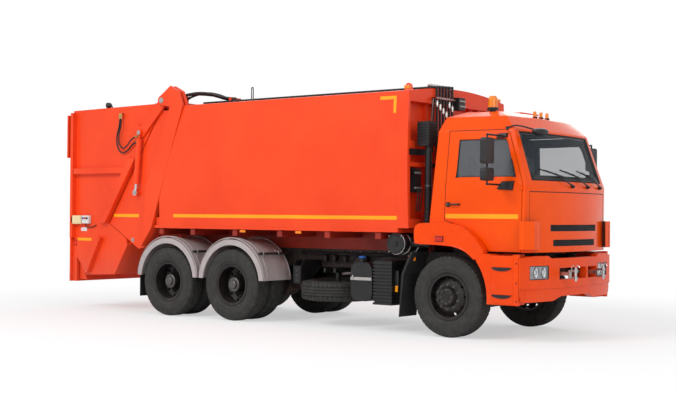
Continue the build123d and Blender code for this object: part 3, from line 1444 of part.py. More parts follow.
def make_mudguards():
    guards = None
    z = wheel_z + guard_rise
    for x in (0, -bogie_x):
        guard = ring_arc(x, z, guard_r, guard_r - guard_t, (-guard_out_y, -guard_in_y), guard_foot)
        lip_y = (-guard_out_y, -guard_out_y + guard_t)
        guard += ring_arc(x, z, guard_r, guard_r - guard_lip, lip_y, guard_foot)
        stay_y = (-guard_in_y - bar_w, -frame_out_y)
        guard += block(spread(x, bar_w), stay_y, (z + guard_r - guard_t, z + guard_r + sheet_t))
        guards = guard if guards is None else guards + guard
    write("rear_mudguards", both_sides(guards))

    x = -bogie_x - guard_r + guard_t
    flap_y = (-guard_out_y + bar_w, -guard_in_y - bar_w)
    flap = block((x, x + flap_t), flap_y, (flap_low_share * wheel_d, guard_foot - seat_gap))
    outline = [(front_axle_x - sx * wheel_d, sz * wheel_d) for sx, sz in front_flap_shares]
    front = side_plate(outline, (-fender_out_y + 2 * flap_t, -fender_in_y))
    stay_x = outline[-1][0]
    stay_y = (-fender_in_y - bar_w, -frame_out_y)
    front += block((stay_x - bar_w, stay_x), stay_y, (0.80 * wheel_d, 0.86 * wheel_d))
    write("mudflaps", Compound(list(both_sides(flap).solids()) + list(both_sides(front).solids())))


# Hydraulic hoses from the front frame over the roof

hose_r = 16.0
hose_count = 6
hose_pitch = 76.0
hose_first_y = -600.0
hose_off = 26.0
hose_low_z = 1640.0
hose_clamp_h = 50.0
# Clamps, as (where their backs bear, height)
hose_clamps = ((body_front_x + 3 * wall, 1640.0), (front_frame_x - bar_w, 2205.0), (front_frame_x, 3085.0))
valve_y = (-200.0, -40.0)
valve_z = (3000.0, 3170.0)
roof_clamp_shares = (0.15, 0.55, 0.95)


def roof_height(y):
    return body_top + body_crown * (1 - (y / body_half) ** 2)


def make_hoses():
    x = front_frame_x + hose_off
    places = [hose_first_y + index * hose_pitch for index in range(hose_count)]
    clamp_y = (places[0] - hose_pitch / 2, places[-1] + hose_pitch / 2)
    pieces = block((front_frame_x, front_frame_x + 3 * bar_w), valve_y, valve_z)
    link_z = (valve_z[0] + bar_w, valve_z[1] - bar_w)
    pieces += block((front_frame_x, x), (clamp_y[1] - hose_pitch, valve_y[1]), link_z)
    for back_x, z in hose_clamps:
        pieces += block((back_x, x), clamp_y, (z, z + hose_clamp_h))
    end_x = hinge_x + hinge_boss_r
    rear_x = end_x + 5 * bar_w
    for y in places:
        roof_z = roof_height(y) + 1.2 * hose_r
        pieces += up_rod(x, y, hose_r, (hose_low_z, roof_z))
        pieces += Pos(x, y, roof_z) * Sphere(hose_r)
        pieces += long_rod(y, roof_z, hose_r, (rear_x, x))
    for share in roof_clamp_shares:
        clamp_x = rear_x + share * (body_front_x - rear_x)
        for left, right in zip(places[:-1], places[1:]):
            low = min(roof_height(left), roof_height(right)) + 1.2 * hose_r
            pieces += block(spread(clamp_x, bar_w / 2), (left, right), (low - hose_r / 2, low + hose_r / 2))
    write("hydraulic_hoses", pieces)


os.makedirs("parts", exist_ok=True)
make_wheels()
make_front_axle()
make_rear_axles()
make_knuckles()
make_frame()
make_engine()
make_right_tank()
make_louvred_box()
make_air_intake()
make_spare_wheel()
make_left_gear()
make_subframe()
make_container()
make_front_frame()
make_lifting_eyes()
make_rear_posts()
make_tailgate()
make_lift()
make_packer()
make_ejector()
make_bin_lift()
make_cab()
make_fenders()
make_cab_inside()
make_roof_lamps()
make_mirrors()
make_bumper()
make_tow_jaws()
make_steps()
make_mudguards()
make_hoses()
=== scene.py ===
import json
import math

import bmesh
import bpy
from mathutils import Matrix, Vector
from mathutils.bvhtree import BVHTree


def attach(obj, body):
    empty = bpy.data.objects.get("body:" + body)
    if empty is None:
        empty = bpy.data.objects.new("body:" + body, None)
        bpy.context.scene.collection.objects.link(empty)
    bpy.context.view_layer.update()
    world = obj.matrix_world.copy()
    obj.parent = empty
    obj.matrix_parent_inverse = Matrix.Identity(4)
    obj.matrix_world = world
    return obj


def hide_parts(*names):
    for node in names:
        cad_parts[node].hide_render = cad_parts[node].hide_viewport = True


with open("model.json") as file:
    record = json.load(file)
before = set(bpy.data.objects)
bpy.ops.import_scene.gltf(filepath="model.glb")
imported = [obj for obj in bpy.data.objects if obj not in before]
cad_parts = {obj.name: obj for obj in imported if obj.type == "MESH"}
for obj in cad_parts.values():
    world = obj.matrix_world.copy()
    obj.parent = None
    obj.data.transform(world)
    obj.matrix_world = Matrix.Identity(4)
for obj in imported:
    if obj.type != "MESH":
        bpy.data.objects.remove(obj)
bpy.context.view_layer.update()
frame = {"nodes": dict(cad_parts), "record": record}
nodes = frame["nodes"]
axleShift = -0.6775  # the middle axle stands here in the part's frame
bothSides = (("right", -1), ("left", 1))
upward = Vector((0, 0, 1))
besideY = 2.0  # rays towards the sides start this far out
print("frame loaded:", len(nodes), "nodes")


# places and meshes

def at(x, y, z):
    return Vector((x + axleShift, y, z))  # x is counted from the middle axle


def spaced(first, last, parts):
    # numbers from first to last, evenly spaced by this many parts
    return [first + (last - first) * k / parts for k in range(parts + 1)]


def turnsRound(count, first=0.0):
    # angles evenly spaced round a circle, first counted in shares of a space
    return [2 * math.pi * (k + first) / count for k in range(count)]


def around(middle, half):
    return (middle - half, middle + half)


def makeObject(name, bm, body, materials, smoothAngle=32):
    bmesh.ops.remove_doubles(bm, verts=bm.verts, dist=0.00002)
    bmesh.ops.recalc_face_normals(bm, faces=bm.faces)
    mesh = bpy.data.meshes.new(name)
    bm.to_mesh(mesh)
    bm.free()
    for material in materials:
        mesh.materials.append(material)
    mesh.shade_smooth()
    mesh.set_sharp_from_angle(angle=math.radians(smoothAngle))
    thing = bpy.data.objects.new(name, mesh)
    bpy.context.scene.collection.objects.link(thing)
    if body:
        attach(thing, body)
    return thing


def addMesh(bm, points, faces, material=0):
    made = [bm.verts.new(p) for p in points]
    for face in faces:
        bm.faces.new([made[i] for i in face]).material_index = material
    return made


def roundEdges(bm, made, edge):
    if edge:
        edges = list({e for v in made for e in v.link_edges})
        bmesh.ops.bevel(
            bm, geom=edges, offset=edge, segments=2, affect="EDGES", profile=0.7, material=-1,
        )


def addBlock(bm, low, high, material=0, edge=0.0):
    (x0, y0, z0), (x1, y1, z1) = low, high
    points = [(x, y, z) for z in (z0, z1) for x, y in ((x0, y0), (x1, y0), (x1, y1), (x0, y1))]
    sides = [(0, 3, 2, 1), (4, 5, 6, 7), (0, 1, 5, 4), (1, 2, 6, 5), (2, 3, 7, 6), (3, 0, 4, 7)]
    roundEdges(bm, addMesh(bm, points, sides, material), edge)


def addBox(bm, xSpan, ySpan, zSpan, material=0, edge=0.0):
    # a block by its spans, x counted from the middle axle
    addBlock(bm, *(at(*corner) for corner in zip(xSpan, ySpan, zSpan)), material, edge)


def addPlate(bm, outline, span, plane="xz", material=0, edge=0.0):
    # an outline of (a, b) points in a plane, made solid over the span
    order = {"xz": (0, 2, 1), "xy": (0, 1, 2), "yz": (2, 0, 1)}[plane]
    count = len(outline)
    points = []
    for c in span:
        points += [[(a, b, c)[k] for k in order] for a, b in outline]
    faces = [tuple(range(count))[::-1], tuple(range(count, 2 * count))]
    faces += [(i, (i + 1) % count, count + (i + 1) % count, count + i) for i in range(count)]
    roundEdges(bm, addMesh(bm, points, faces, material), edge)


def addTurned(bm, profile, centre, axis, material=0, sides=48, closed=False):
    # a profile of (radius, distance along the axis) turned about it
    axis = Vector(axis).normalized()
    side = axis.orthogonal().normalized()
    other = axis.cross(side)
    centre = Vector(centre)
    rings = []
    for radius, along in profile:
        count = 1 if radius < 1e-6 else sides
        rings.append([
            bm.verts.new(centre + axis * along + (side * math.cos(t) + other * math.sin(t)) * radius)
            for t in turnsRound(sides)[:count]
        ])
    pairs = list(zip(rings, rings[1:] + rings[:1])) if closed else list(zip(rings, rings[1:]))
    for a, b in pairs:
        if len(a) == 1 and len(b) == 1:
            continue
        for i in range(sides):
            j = (i + 1) % sides
            if len(a) == 1:
                corners = (a[0], b[j], b[i])
            elif len(b) == 1:
                corners = (a[i], a[j], b[0])
            else:
                corners = (a[i], a[j], b[j], b[i])
            bm.faces.new(corners).material_index = material


def addRod(bm, start, end, radius, material=0, sides=20, edge=0.0, endRadius=None):
    start, end = Vector(start), Vector(end)
    length = (end - start).length
    last = radius if endRadius is None else endRadius
    edge = min(edge, radius * 0.6, last * 0.6, length * 0.4)
    profile = [(0, 0), (radius, 0), (last, length), (0, length)]
    if edge:
        profile = [(0, 0), (radius - edge, 0), (radius, edge)]
        profile += [(last, length - edge), (last - edge, length), (0, length)]
    addTurned(bm, profile, start, end - start, material, sides)


def smoothPath(points, steps=8):
    points = [Vector(p) for p in points]
    if len(points) < 3 or steps < 2:
        return points
    ends = [points[0] * 2 - points[1]] + points + [points[-1] * 2 - points[-2]]
    path = []
    for a, b, c, d in zip(ends, ends[1:], ends[2:], ends[3:]):
        for k in range(steps):
            t = k / steps
            bend = (2 * a - 5 * b + 4 * c - d) * t * t + (3 * b - a - 3 * c + d) * t**3
            path.append(0.5 * (2 * b + (c - a) * t + bend))
    path.append(points[-1])
    return path


def addTube(bm, points, radius, material=0, sides=12, steps=8, loop=False):
    # a round tube along a smooth line through the points, or round a closed loop of them
    path = smoothPath(points, steps)
    count = len(path)
    side = (path[1] - path[0]).orthogonal().normalized()
    rings = []
    for i, p in enumerate(path):
        before = path[(i - 1) % count] if loop else path[max(i - 1, 0)]
        after = path[(i + 1) % count] if loop else path[min(i + 1, count - 1)]
        ahead = (after - before).normalized()
        side = (side - ahead * side.dot(ahead)).normalized()
        other = ahead.cross(side)
        rings.append([
            bm.verts.new(p + (side * math.cos(t) + other * math.sin(t)) * radius)
            for t in turnsRound(sides)
        ])
    for a, b in zip(rings, rings[1:] + rings[:1] if loop else rings[1:]):
        for k in range(sides):
            j = (k + 1) % sides
            bm.faces.new((a[k], a[j], b[j], b[k])).material_index = material
    if not loop:
        bm.faces.new(rings[0][::-1]).material_index = material
        bm.faces.new(rings[-1]).material_index = material


def addNut(bm, centre, axis, across, height, material=0):
    centre, axis = Vector(centre), Vector(axis).normalized()
    radius = across / math.sqrt(3)
    addRod(bm, centre, centre + axis * height * 0.25, radius * 1.3, material, 16, height * 0.06)
    profile = [(0, 0), (radius, 0), (radius, height * 0.85), (radius * 0.82, height), (0, height)]
    addTurned(bm, profile, centre, axis, material, 6)


def addSheet(bm, grid, lift, material=0):
    # a thin closed sheet over a grid of points, each raised by the vector lift
    rows, columns = len(grid), len(grid[0])
    top = [[bm.verts.new(p + lift) for p in row] for row in grid]
    low = [[bm.verts.new(p - lift * 0.2) for p in row] for row in grid]
    faces = []
    for i in range(rows - 1):
        for j in range(columns - 1):
            faces.append((top[i][j], top[i][j + 1], top[i + 1][j + 1], top[i + 1][j]))
            faces.append((low[i][j], low[i + 1][j], low[i + 1][j + 1], low[i][j + 1]))
    for j in range(columns - 1):
        for i in (0, rows - 1):
            faces.append((top[i][j], top[i][j + 1], low[i][j + 1], low[i][j]))
    for i in range(rows - 1):
        for j in (0, columns - 1):
            faces.append((top[i][j], top[i + 1][j], low[i + 1][j], low[i][j]))
    for face in faces:
        bm.faces.new(face).material_index = material


def surfaceOf(*names):
    points, faces = [], []
    for name in names:
        mesh = nodes[name].data
        first = len(points)
        points += [v.co.copy() for v in mesh.vertices]
        faces += [[first + i for i in face.vertices] for face in mesh.polygons]
    return BVHTree.FromPolygons(points, faces)


def land(tree, start, aim):
    spot = tree.ray_cast(start, aim)[0]
    return start if spot is None else spot


def landLine(tree, points, aim, lift):
    # points carried along aim onto a surface, and held off it by lift
    aim = Vector(aim)
    return [land(tree, Vector(p), aim) - aim * lift for p in points]


def divided(outline, most):
    # an outline with more points, none further apart than most
    points = []
    for a, b in zip(outline, outline[1:] + outline[:1]):
        a, b = Vector(a), Vector(b)
        count = max(1, math.ceil((b - a).length / most))
        points += [a.lerp(b, k / count) for k in range(count)]
    return points


# materials

def newMaterial(name):
    material = bpy.data.materials.new(name)
    material.use_nodes = True
    tree = material.node_tree
    return material, tree, tree.nodes["Principled BSDF"]


def rgb(red, green, blue):
    def linear(c):
        c /= 255
        return c / 12.92 if c <= 0.04045 else ((c + 0.055) / 1.055) ** 2.4
    return (linear(red), linear(green), linear(blue), 1.0)


def noiseNode(tree, scale, detail=4.0, rough=0.5, stretch=(1.0, 1.0, 1.0)):
    place = tree.nodes.new("ShaderNodeTexCoord")
    mapping = tree.nodes.new("ShaderNodeMapping")
    noise = tree.nodes.new("ShaderNodeTexNoise")
    noise.inputs["Scale"].default_value = scale
    noise.inputs["Detail"].default_value = detail
    noise.inputs["Roughness"].default_value = rough
    mapping.inputs["Scale"].default_value = stretch
    tree.links.new(place.outputs["Object"], mapping.inputs["Vector"])
    tree.links.new(mapping.outputs["Vector"], noise.inputs["Vector"])
    return noise.outputs["Fac"]


def rangeNode(tree, value, low, high, newLow, newHigh):
    node = tree.nodes.new("ShaderNodeMapRange")
    sockets = {"From Min": low, "From Max": high, "To Min": newLow, "To Max": newHigh}
    for socket, number in sockets.items():
        node.inputs[socket].default_value = number
    tree.links.new(value, node.inputs["Value"])
    return node.outputs["Result"]


def mathNode(tree, kind, first, second):
    node = tree.nodes.new("ShaderNodeMath")
    node.operation = kind
    for socket, value in zip(node.inputs, (first, second)):
        if isinstance(value, float):
            socket.default_value = value
        else:
            tree.links.new(value, socket)
    return node.outputs[0]


def mixColours(tree, share, first, second):
    node = tree.nodes.new("ShaderNodeMix")
    node.data_type = "RGBA"
    colours = [s for s in node.inputs if s.type == "RGBA"]
    for socket, value in zip(colours, (first, second)):
        if isinstance(value, tuple):
            socket.default_value = value
        else:
            tree.links.new(value, socket)
    tree.links.new(share, node.inputs["Factor"])
    return next(s for s in node.outputs if s.type == "RGBA")


def bumpNode(tree, shader, height, strength, distance, edgeRadius=0.0):
    node = tree.nodes.new("ShaderNodeBump")
    node.inputs["Strength"].default_value = strength
    node.inputs["Distance"].default_value = distance
    tree.links.new(height, node.inputs["Height"])
    tree.links.new(node.outputs["Normal"], shader.inputs["Normal"])
    if edgeRadius:
        bevel = tree.nodes.new("ShaderNodeBevel")
        bevel.samples = 4
        bevel.inputs["Radius"].default_value = edgeRadius
        tree.links.new(bevel.outputs["Normal"], node.inputs["Normal"])


def facingOut(tree, middle):
    # 1 on faces that look away from a middle point, 0 on those that look towards it
    place = tree.nodes.new("ShaderNodeTexCoord")
    away = tree.nodes.new("ShaderNodeVectorMath")
    away.operation = "SUBTRACT"
    away.inputs[1].default_value = middle
    dot = tree.nodes.new("ShaderNodeVectorMath")
    dot.operation = "DOT_PRODUCT"
    tree.links.new(place.outputs["Object"], away.inputs[0])
    tree.links.new(away.outputs[0], dot.inputs[0])
    tree.links.new(place.outputs["Normal"], dot.inputs[1])
    return mathNode(tree, "GREATER_THAN", dot.outputs["Value"], 0.0)


def paint(
    name, colour, darker, roughness=0.3, coat=0.1, dust=0.0, dustTop=1.2, edgeRadius=0.006, inside=None,
    specular=0.3,
):
    material, tree, shader = newMaterial(name)
    broad = noiseNode(tree, 1.3, 5.0, 0.55)
    base = mixColours(tree, rangeNode(tree, broad, 0.35, 0.7, 0.0, 1.0), colour, darker)
    if dust:
        place = tree.nodes.new("ShaderNodeTexCoord")
        split = tree.nodes.new("ShaderNodeSeparateXYZ")
        tree.links.new(place.outputs["Object"], split.inputs["Vector"])
        low = rangeNode(tree, split.outputs["Z"], 0.3, dustTop, dust, 0.0)
        speck = rangeNode(tree, noiseNode(tree, 9.0, 9.0, 0.62), 0.3, 0.75, 0.0, 1.0)
        base = mixColours(tree, mathNode(tree, "MULTIPLY", low, speck), base, rgb(150, 128, 112))
    if inside:
        middle, lining = inside
        base = mixColours(tree, facingOut(tree, middle), lining, base)
    tree.links.new(base, shader.inputs["Base Color"])
    fine = noiseNode(tree, 7.0, 6.0, 0.6)
    rough = rangeNode(tree, fine, 0.3, 0.7, roughness * 0.8, roughness * 1.3)
    tree.links.new(rough, shader.inputs["Roughness"])
    shader.inputs["Specular IOR Level"].default_value = specular
    shader.inputs["Coat Weight"].default_value = coat
    shader.inputs["Coat Roughness"].default_value = 0.06
    bumpNode(tree, shader, noiseNode(tree, 1.5, 2.0, 0.4), 0.25, 0.004, edgeRadius)
    return material


def plastic(name, colour, roughness=0.5, grain=260.0, depth=0.0006, worn=None):
    material, tree, shader = newMaterial(name)
    broad = noiseNode(tree, 7.0, 6.0, 0.6)
    paler = worn or tuple(min(1.0, c * 1.4 + 0.01) for c in colour[:3]) + (1.0,)
    worked = mixColours(tree, rangeNode(tree, broad, 0.42, 0.8, 0.0, 0.7), colour, paler)
    tree.links.new(worked, shader.inputs["Base Color"])
    rough = rangeNode(tree, broad, 0.3, 0.7, roughness * 0.85, roughness * 1.2)
    tree.links.new(rough, shader.inputs["Roughness"])
    shader.inputs["Specular IOR Level"].default_value = 0.35
    bumpNode(tree, shader, noiseNode(tree, grain, 2.0, 0.5), 0.4, depth)
    return material


def metal(name, colour, roughness=0.3, brushed=(1.0, 1.0, 1.0)):
    material, tree, shader = newMaterial(name)
    shader.inputs["Metallic"].default_value = 1.0
    streak = noiseNode(tree, 60.0, 3.0, 0.6, brushed)
    darker = tuple(c * 0.7 for c in colour[:3]) + (1.0,)
    worked = mixColours(tree, rangeNode(tree, streak, 0.3, 0.7, 0.0, 1.0), colour, darker)
    tree.links.new(worked, shader.inputs["Base Color"])
    rough = rangeNode(tree, streak, 0.3, 0.7, roughness * 0.8, roughness * 1.3)
    tree.links.new(rough, shader.inputs["Roughness"])
    bumpNode(tree, shader, streak, 0.12, 0.0005)
    return material


def glass(name, colour, alpha, roughness=0.03):
    material, tree, shader = newMaterial(name)
    haze = noiseNode(tree, 3.0, 4.0, 0.6)
    shader.inputs["Base Color"].default_value = colour
    rough = rangeNode(tree, haze, 0.3, 0.8, roughness, roughness * 2.5)
    tree.links.new(rough, shader.inputs["Roughness"])
    shader.inputs["Alpha"].default_value = alpha
    return material


def tyreLook():
    material, tree, shader = newMaterial("tyreRubber")
    broad = noiseNode(tree, 11.0, 9.0, 0.72)
    dust = rangeNode(tree, broad, 0.4, 0.75, 0.0, 0.5)
    worked = mixColours(tree, dust, rgb(40, 40, 39), rgb(84, 81, 76))
    tree.links.new(worked, shader.inputs["Base Color"])
    tree.links.new(rangeNode(tree, broad, 0.3, 0.7, 0.62, 0.85), shader.inputs["Roughness"])
    shader.inputs["Specular IOR Level"].default_value = 0.3
    bumpNode(tree, shader, noiseNode(tree, 160.0, 4.0, 0.6), 0.5, 0.0012)
    return material


def seatLook():
    material, tree, shader = newMaterial("seatCloth")
    place = tree.nodes.new("ShaderNodeTexCoord")
    weave = tree.nodes.new("ShaderNodeTexWave")
    weave.inputs["Scale"].default_value = 160.0
    weave.inputs["Distortion"].default_value = 1.5
    tree.links.new(place.outputs["Object"], weave.inputs["Vector"])
    worked = mixColours(tree, weave.outputs["Fac"], rgb(38, 38, 44), rgb(66, 66, 74))
    tree.links.new(worked, shader.inputs["Base Color"])
    shader.inputs["Roughness"].default_value = 0.9
    shader.inputs["Sheen Weight"].default_value = 0.3
    bumpNode(tree, shader, weave.outputs["Fac"], 0.4, 0.001)
    return material


cabMiddle = at(4.0, 0.0, 1.9)
lining = rgb(84, 82, 82)
containerPaint = paint(
    "containerPaint", rgb(236, 71, 28), rgb(226, 62, 22), 0.34, 0.06, 0.3, 1.1, specular=0.2,
)
cabPaint = paint(
    "cabPaint", rgb(240, 80, 4), rgb(232, 72, 3), 0.22, 0.12, 0.06, 0.8, 0.02, (cabMiddle, lining), 0.1,
)
bumperPaint = paint(
    "bumperPaint", rgb(236, 72, 4), rgb(228, 64, 3), 0.26, 0.1, 0.12, 0.9, 0.012, specular=0.1,
)
stripePaint = paint("stripePaint", rgb(246, 162, 8), rgb(240, 152, 6), 0.4, 0.0)
chassisPaint = paint("chassisPaint", rgb(36, 34, 35), rgb(24, 23, 24), 0.5, 0.0, 0.5, 1.2)
subframePaint = paint("subframePaint", rgb(158, 44, 26), rgb(124, 32, 20), 0.45, 0.0, 0.2, 1.3)
rimPaint = paint("rimPaint", rgb(19, 19, 20), rgb(14, 14, 15), 0.36, 0.06, 0.1, 1.1, 0.003)
plateSteel = paint("plateSteel", rgb(206, 62, 28), rgb(150, 54, 36), 0.45, 0.0, 0.3, 1.6)
lidPaint = paint("lidPaint", rgb(38, 92, 168), rgb(30, 78, 150), 0.4, 0.0)
guardGrey = plastic("guardGrey", rgb(164, 155, 154), 0.42, 180.0, 0.0005, rgb(184, 176, 174))
blackPlastic = plastic("blackPlastic", rgb(22, 22, 24), 0.42)
flapRubber = plastic("flapRubber", rgb(22, 22, 23), 0.7, 90.0, 0.001)
hoseRubber = plastic("hoseRubber", rgb(17, 17, 19), 0.4, 300.0, 0.0006)
creamPlastic = plastic("creamPlastic", rgb(222, 200, 152), 0.4, 120.0, 0.0003, rgb(232, 214, 176))
whitePlastic = plastic("whitePlastic", rgb(206, 206, 204), 0.4, 120.0, 0.0003, rgb(224, 224, 222))
bareSteel = metal("bareSteel", rgb(188, 186, 182), 0.3, (1.0, 8.0, 1.0))
dullSteel = metal("dullSteel", rgb(104, 102, 100), 0.45)
chromeSteel = metal("chromeSteel", rgb(232, 232, 234), 0.1)
brassFitting = metal("brassFitting", rgb(198, 168, 104), 0.3)
tankMetal = metal("tankMetal", rgb(160, 160, 162), 0.35, (6.0, 1.0, 1.0))
mirrorGlass = metal("mirrorGlass", rgb(206, 212, 216), 0.04)
clearGlass = glass("clearGlass", rgb(96, 108, 118), 0.10)
doorGlass = glass("doorGlass", rgb(120, 122, 126), 0.34)
lampLens = glass("lampLens", rgb(226, 232, 236), 0.06, 0.02)
amberLens = glass("amberLens", rgb(240, 132, 6), 0.9, 0.08)
redLens = glass("redLens", rgb(196, 22, 12), 0.95, 0.08)
tyreRubber = tyreLook()
seatCloth = seatLook()

slotLooks = {
    "container_paint": containerPaint, "cab_paint": cabPaint, "chassis_paint": chassisPaint,
    "subframe_paint": subframePaint, "guard_grey": guardGrey, "black_plastic": blackPlastic,
    "rim_paint": rimPaint, "tyre_rubber": tyreRubber, "flap_rubber": flapRubber,
    "bare_steel": bareSteel, "clear_glass": clearGlass, "lamp_lens": chromeSteel,
    "amber_lens": amberLens, "seat_cloth": seatCloth, "tank_metal": tankMetal, "plate_steel": plateSteel,
}
nodeLooks = {
    "bumper": bumperPaint, "cab_steps": bumperPaint, "cab_fenders": bumperPaint,
    "door_glass_right": doorGlass, "door_glass_left": doorGlass,
    "lift_barrels": containerPaint, "lift_rods": chromeSteel, "headlamps": tankMetal,
}
slotOf = {row["node"]: row["material_slot"] for row in frame["record"]["subparts"]}
for name, thing in nodes.items():
    thing.data.materials.clear()
    thing.data.materials.append(nodeLooks.get(name, slotLooks[slotOf[name]]))
print("materials on the packed nodes")


# tyres with their tread, and the wheels' fasteners

tyre = {
    "blocks": 48,  # round the tread
    "notch": ((0.00, 0.0), (0.03, 0.009), (0.24, 0.009), (0.27, 0.0)),  # share of a block, depth
    "zigzag": 0.0035,
    # radius, half width, and how the tread takes the point: s shoulder block, z zigzag groove
    "profile": (
        (0.2868, 0.0975, ""), (0.3000, 0.0985, ""), (0.3040, 0.1050, ""), (0.3100, 0.1150, ""),
        (0.3160, 0.1190, ""), (0.3210, 0.1170, ""), (0.3260, 0.1190, ""), (0.3500, 0.1310, ""),
        (0.3530, 0.1340, ""), (0.3570, 0.1340, ""), (0.3600, 0.1320, ""), (0.3850, 0.1365, ""),
        (0.4080, 0.1380, ""), (0.4100, 0.1398, ""), (0.4290, 0.1398, ""), (0.4310, 0.1380, ""),
        (0.4550, 0.1340, ""), (0.4750, 0.1290, ""), (0.4770, 0.1310, ""), (0.4830, 0.1295, ""),
        (0.4850, 0.1265, ""), (0.4950, 0.1240, ""), (0.5020, 0.1235, "s"), (0.5110, 0.1190, "s"),
        (0.5180, 0.1020, "s"), (0.5225, 0.0840, "s"), (0.5240, 0.0700, "z"), (0.5120, 0.0670, "z"),
        (0.5120, 0.0590, "z"), (0.5240, 0.0560, "z"), (0.5245, 0.0260, "z"), (0.5120, 0.0235, "z"),
        (0.5120, 0.0165, "z"), (0.5245, 0.0140, "z"),
    ),
}


def tyreMesh():
    bm = bmesh.new()
    half = tyre["profile"]
    columns = [(r, w, kind) for r, w, kind in half] + [(r, -w, kind) for r, w, kind in reversed(half)]
    rings = []
    for block in range(tyre["blocks"]):
        for step, (share, depth) in enumerate(tyre["notch"]):
            turn = 2 * math.pi * (block + share) / tyre["blocks"]
            swing = tyre["zigzag"] * (1 if step in (1, 2) else -1)
            ring = []
            for radius, across, kind in columns:
                r = radius - (depth if kind == "s" else 0.0)
                w = across + (swing if kind == "z" else 0.0)
                ring.append(bm.verts.new((r * math.cos(turn), w, r * math.sin(turn))))
            rings.append(ring)
    count = len(columns)
    for a, b in zip(rings, rings[1:] + rings[:1]):
        for k in range(count):
            j = (k + 1) % count
            bm.faces.new((a[k], b[k], b[j], a[j]))
    mesh = bpy.data.meshes.new("tyreForm")
    bm.to_mesh(mesh)
    bm.free()
    return mesh


def makeTyres(name, places, body, form, flat=False):
    bm = bmesh.new()
    for place in places:
        before = len(bm.verts)
        bm.from_mesh(form)
        bm.verts.ensure_lookup_table()
        moved = bm.verts[before:]
        if flat:
            bmesh.ops.rotate(bm, verts=moved, matrix=Matrix.Rotation(math.pi / 2, 3, "X"))
        bmesh.ops.translate(bm, verts=moved, vec=place)
    thing = makeObject(name, bm, body, [tyreRubber], 26)
    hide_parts(name.replace("tread_", ""))


wheels = {
    "z": 0.525, "frontX": 3.69, "rearX": {"middle": 0.0, "rear": -1.32},
    "frontY": 1.028, "outerY": 1.096, "innerY": 0.766, "spare": (1.495, -0.60, 0.49),
    "nuts": 10, "nutAcross": 0.032, "nutHeight": 0.026, "coverR": 0.108, "bolts": 8, "boltR": 0.085,
}


def makeWheelParts(name, body, x, facing, rear):
    # the nuts, studs, hub cover and valve of one wheel
    bm = bmesh.new()
    y = wheels["outerY"] if rear else wheels["frontY"]
    out = Vector((0, facing, 0))
    ring, face = (0.170, y - 0.105) if rear else (0.157, y + 0.098)
    for turn in turnsRound(wheels["nuts"], 0.5):
        seat = at(x + ring * math.cos(turn), facing * face, wheels["z"] + ring * math.sin(turn))
        addNut(bm, seat, out, wheels["nutAcross"], wheels["nutHeight"], 1)
        addRod(bm, seat, seat + out * (wheels["nutHeight"] + 0.014), 0.010, 1, 12, 0.002)
    nose = y + (0.064 if rear else 0.146)
    reach = wheels["coverR"]
    cover = [(0, -0.002), (reach - 0.004, -0.002), (reach - 0.004, 0.006), (reach - 0.012, 0.011)]
    if rear:
        cover += [(0.064, 0.011), (0.060, 0.030), (0.052, 0.036), (0, 0.036)]
    else:
        cover += [(0.074, 0.011), (0.070, 0.005), (0.036, 0.005), (0.032, 0.012), (0, 0.013)]
    centre = at(x, facing * nose, wheels["z"])
    addTurned(bm, cover, centre, out, 1 if rear else 0)
    for turn in turnsRound(wheels["bolts"]):
        bolt = centre + Vector((math.cos(turn), 0, math.sin(turn))) * wheels["boltR"] + out * 0.010
        addNut(bm, bolt, out, 0.017, 0.010, 1)
    # the lock ring round the outer edge of the rim, and the valve
    edge = y + 0.112
    addTurned(
        bm, [(0.287, -0.006), (0.301, -0.006), (0.304, 0.0), (0.301, 0.004), (0.288, 0.003)],
        at(x, facing * edge, wheels["z"]), out, 0, 72, True,
    )
    stem = at(x + 0.19, facing * (edge - 0.07), wheels["z"] + 0.16)
    addTube(bm, [stem, stem + out * 0.03 + Vector((0.01, 0, 0.01)), stem + out * 0.06], 0.005, 1, 8)
    makeObject(name, bm, body, [rimPaint, dullSteel])


def makeWheels():
    form = tyreMesh()
    z = wheels["z"]
    for side, f in bothSides:
        front = f"front_wheel_{side}"
        place = at(wheels["frontX"], f * wheels["frontY"], z)
        makeTyres(f"tread_front_tyre_{side}", [place], front, form)
        makeWheelParts(f"front_fasteners_{side}", front, wheels["frontX"], f, False)
        for axle, x in wheels["rearX"].items():
            body = f"{axle}_wheels_{side}"
            places = [at(x, f * wheels[y], z) for y in ("outerY", "innerY")]
            makeTyres(f"tread_{axle}_tyres_{side}", places, body, form)
            makeWheelParts(f"{axle}_fasteners_{side}", body, x, f, True)
    makeTyres("tread_spare_tyre", [at(*wheels["spare"])], "chassis", form, True)


makeWheels()
print("tyres and wheel fasteners")


# stripes on the paint

cabSkin = surfaceOf(
    "cab_shell", "windscreen", "door_right", "door_left", "door_glass_right", "door_glass_left",
)
tailSkin = surfaceOf("tailgate_sides")
containerSkin = surfaceOf("container_sides", "container_front")
postSkin = surfaceOf("rear_posts")
stripes = {
    "step": 0.10, "probes": 80,
    "container": ((-1.20, 2.945), (1.500, 1.550)),
    "cornerTop": ((2.66, 2.925), (3.085, 3.130)),
    "cornerSide": ((2.880, 2.925), (2.90, 3.085)),
    "gusset": ((-2.62, -2.03), (1.495, 1.545)),
    "hopper": ((-3.48, -3.14), (1.105, 1.150)),
    "cabDoor": ((3.640, 4.675), (1.525, 1.583)),
}


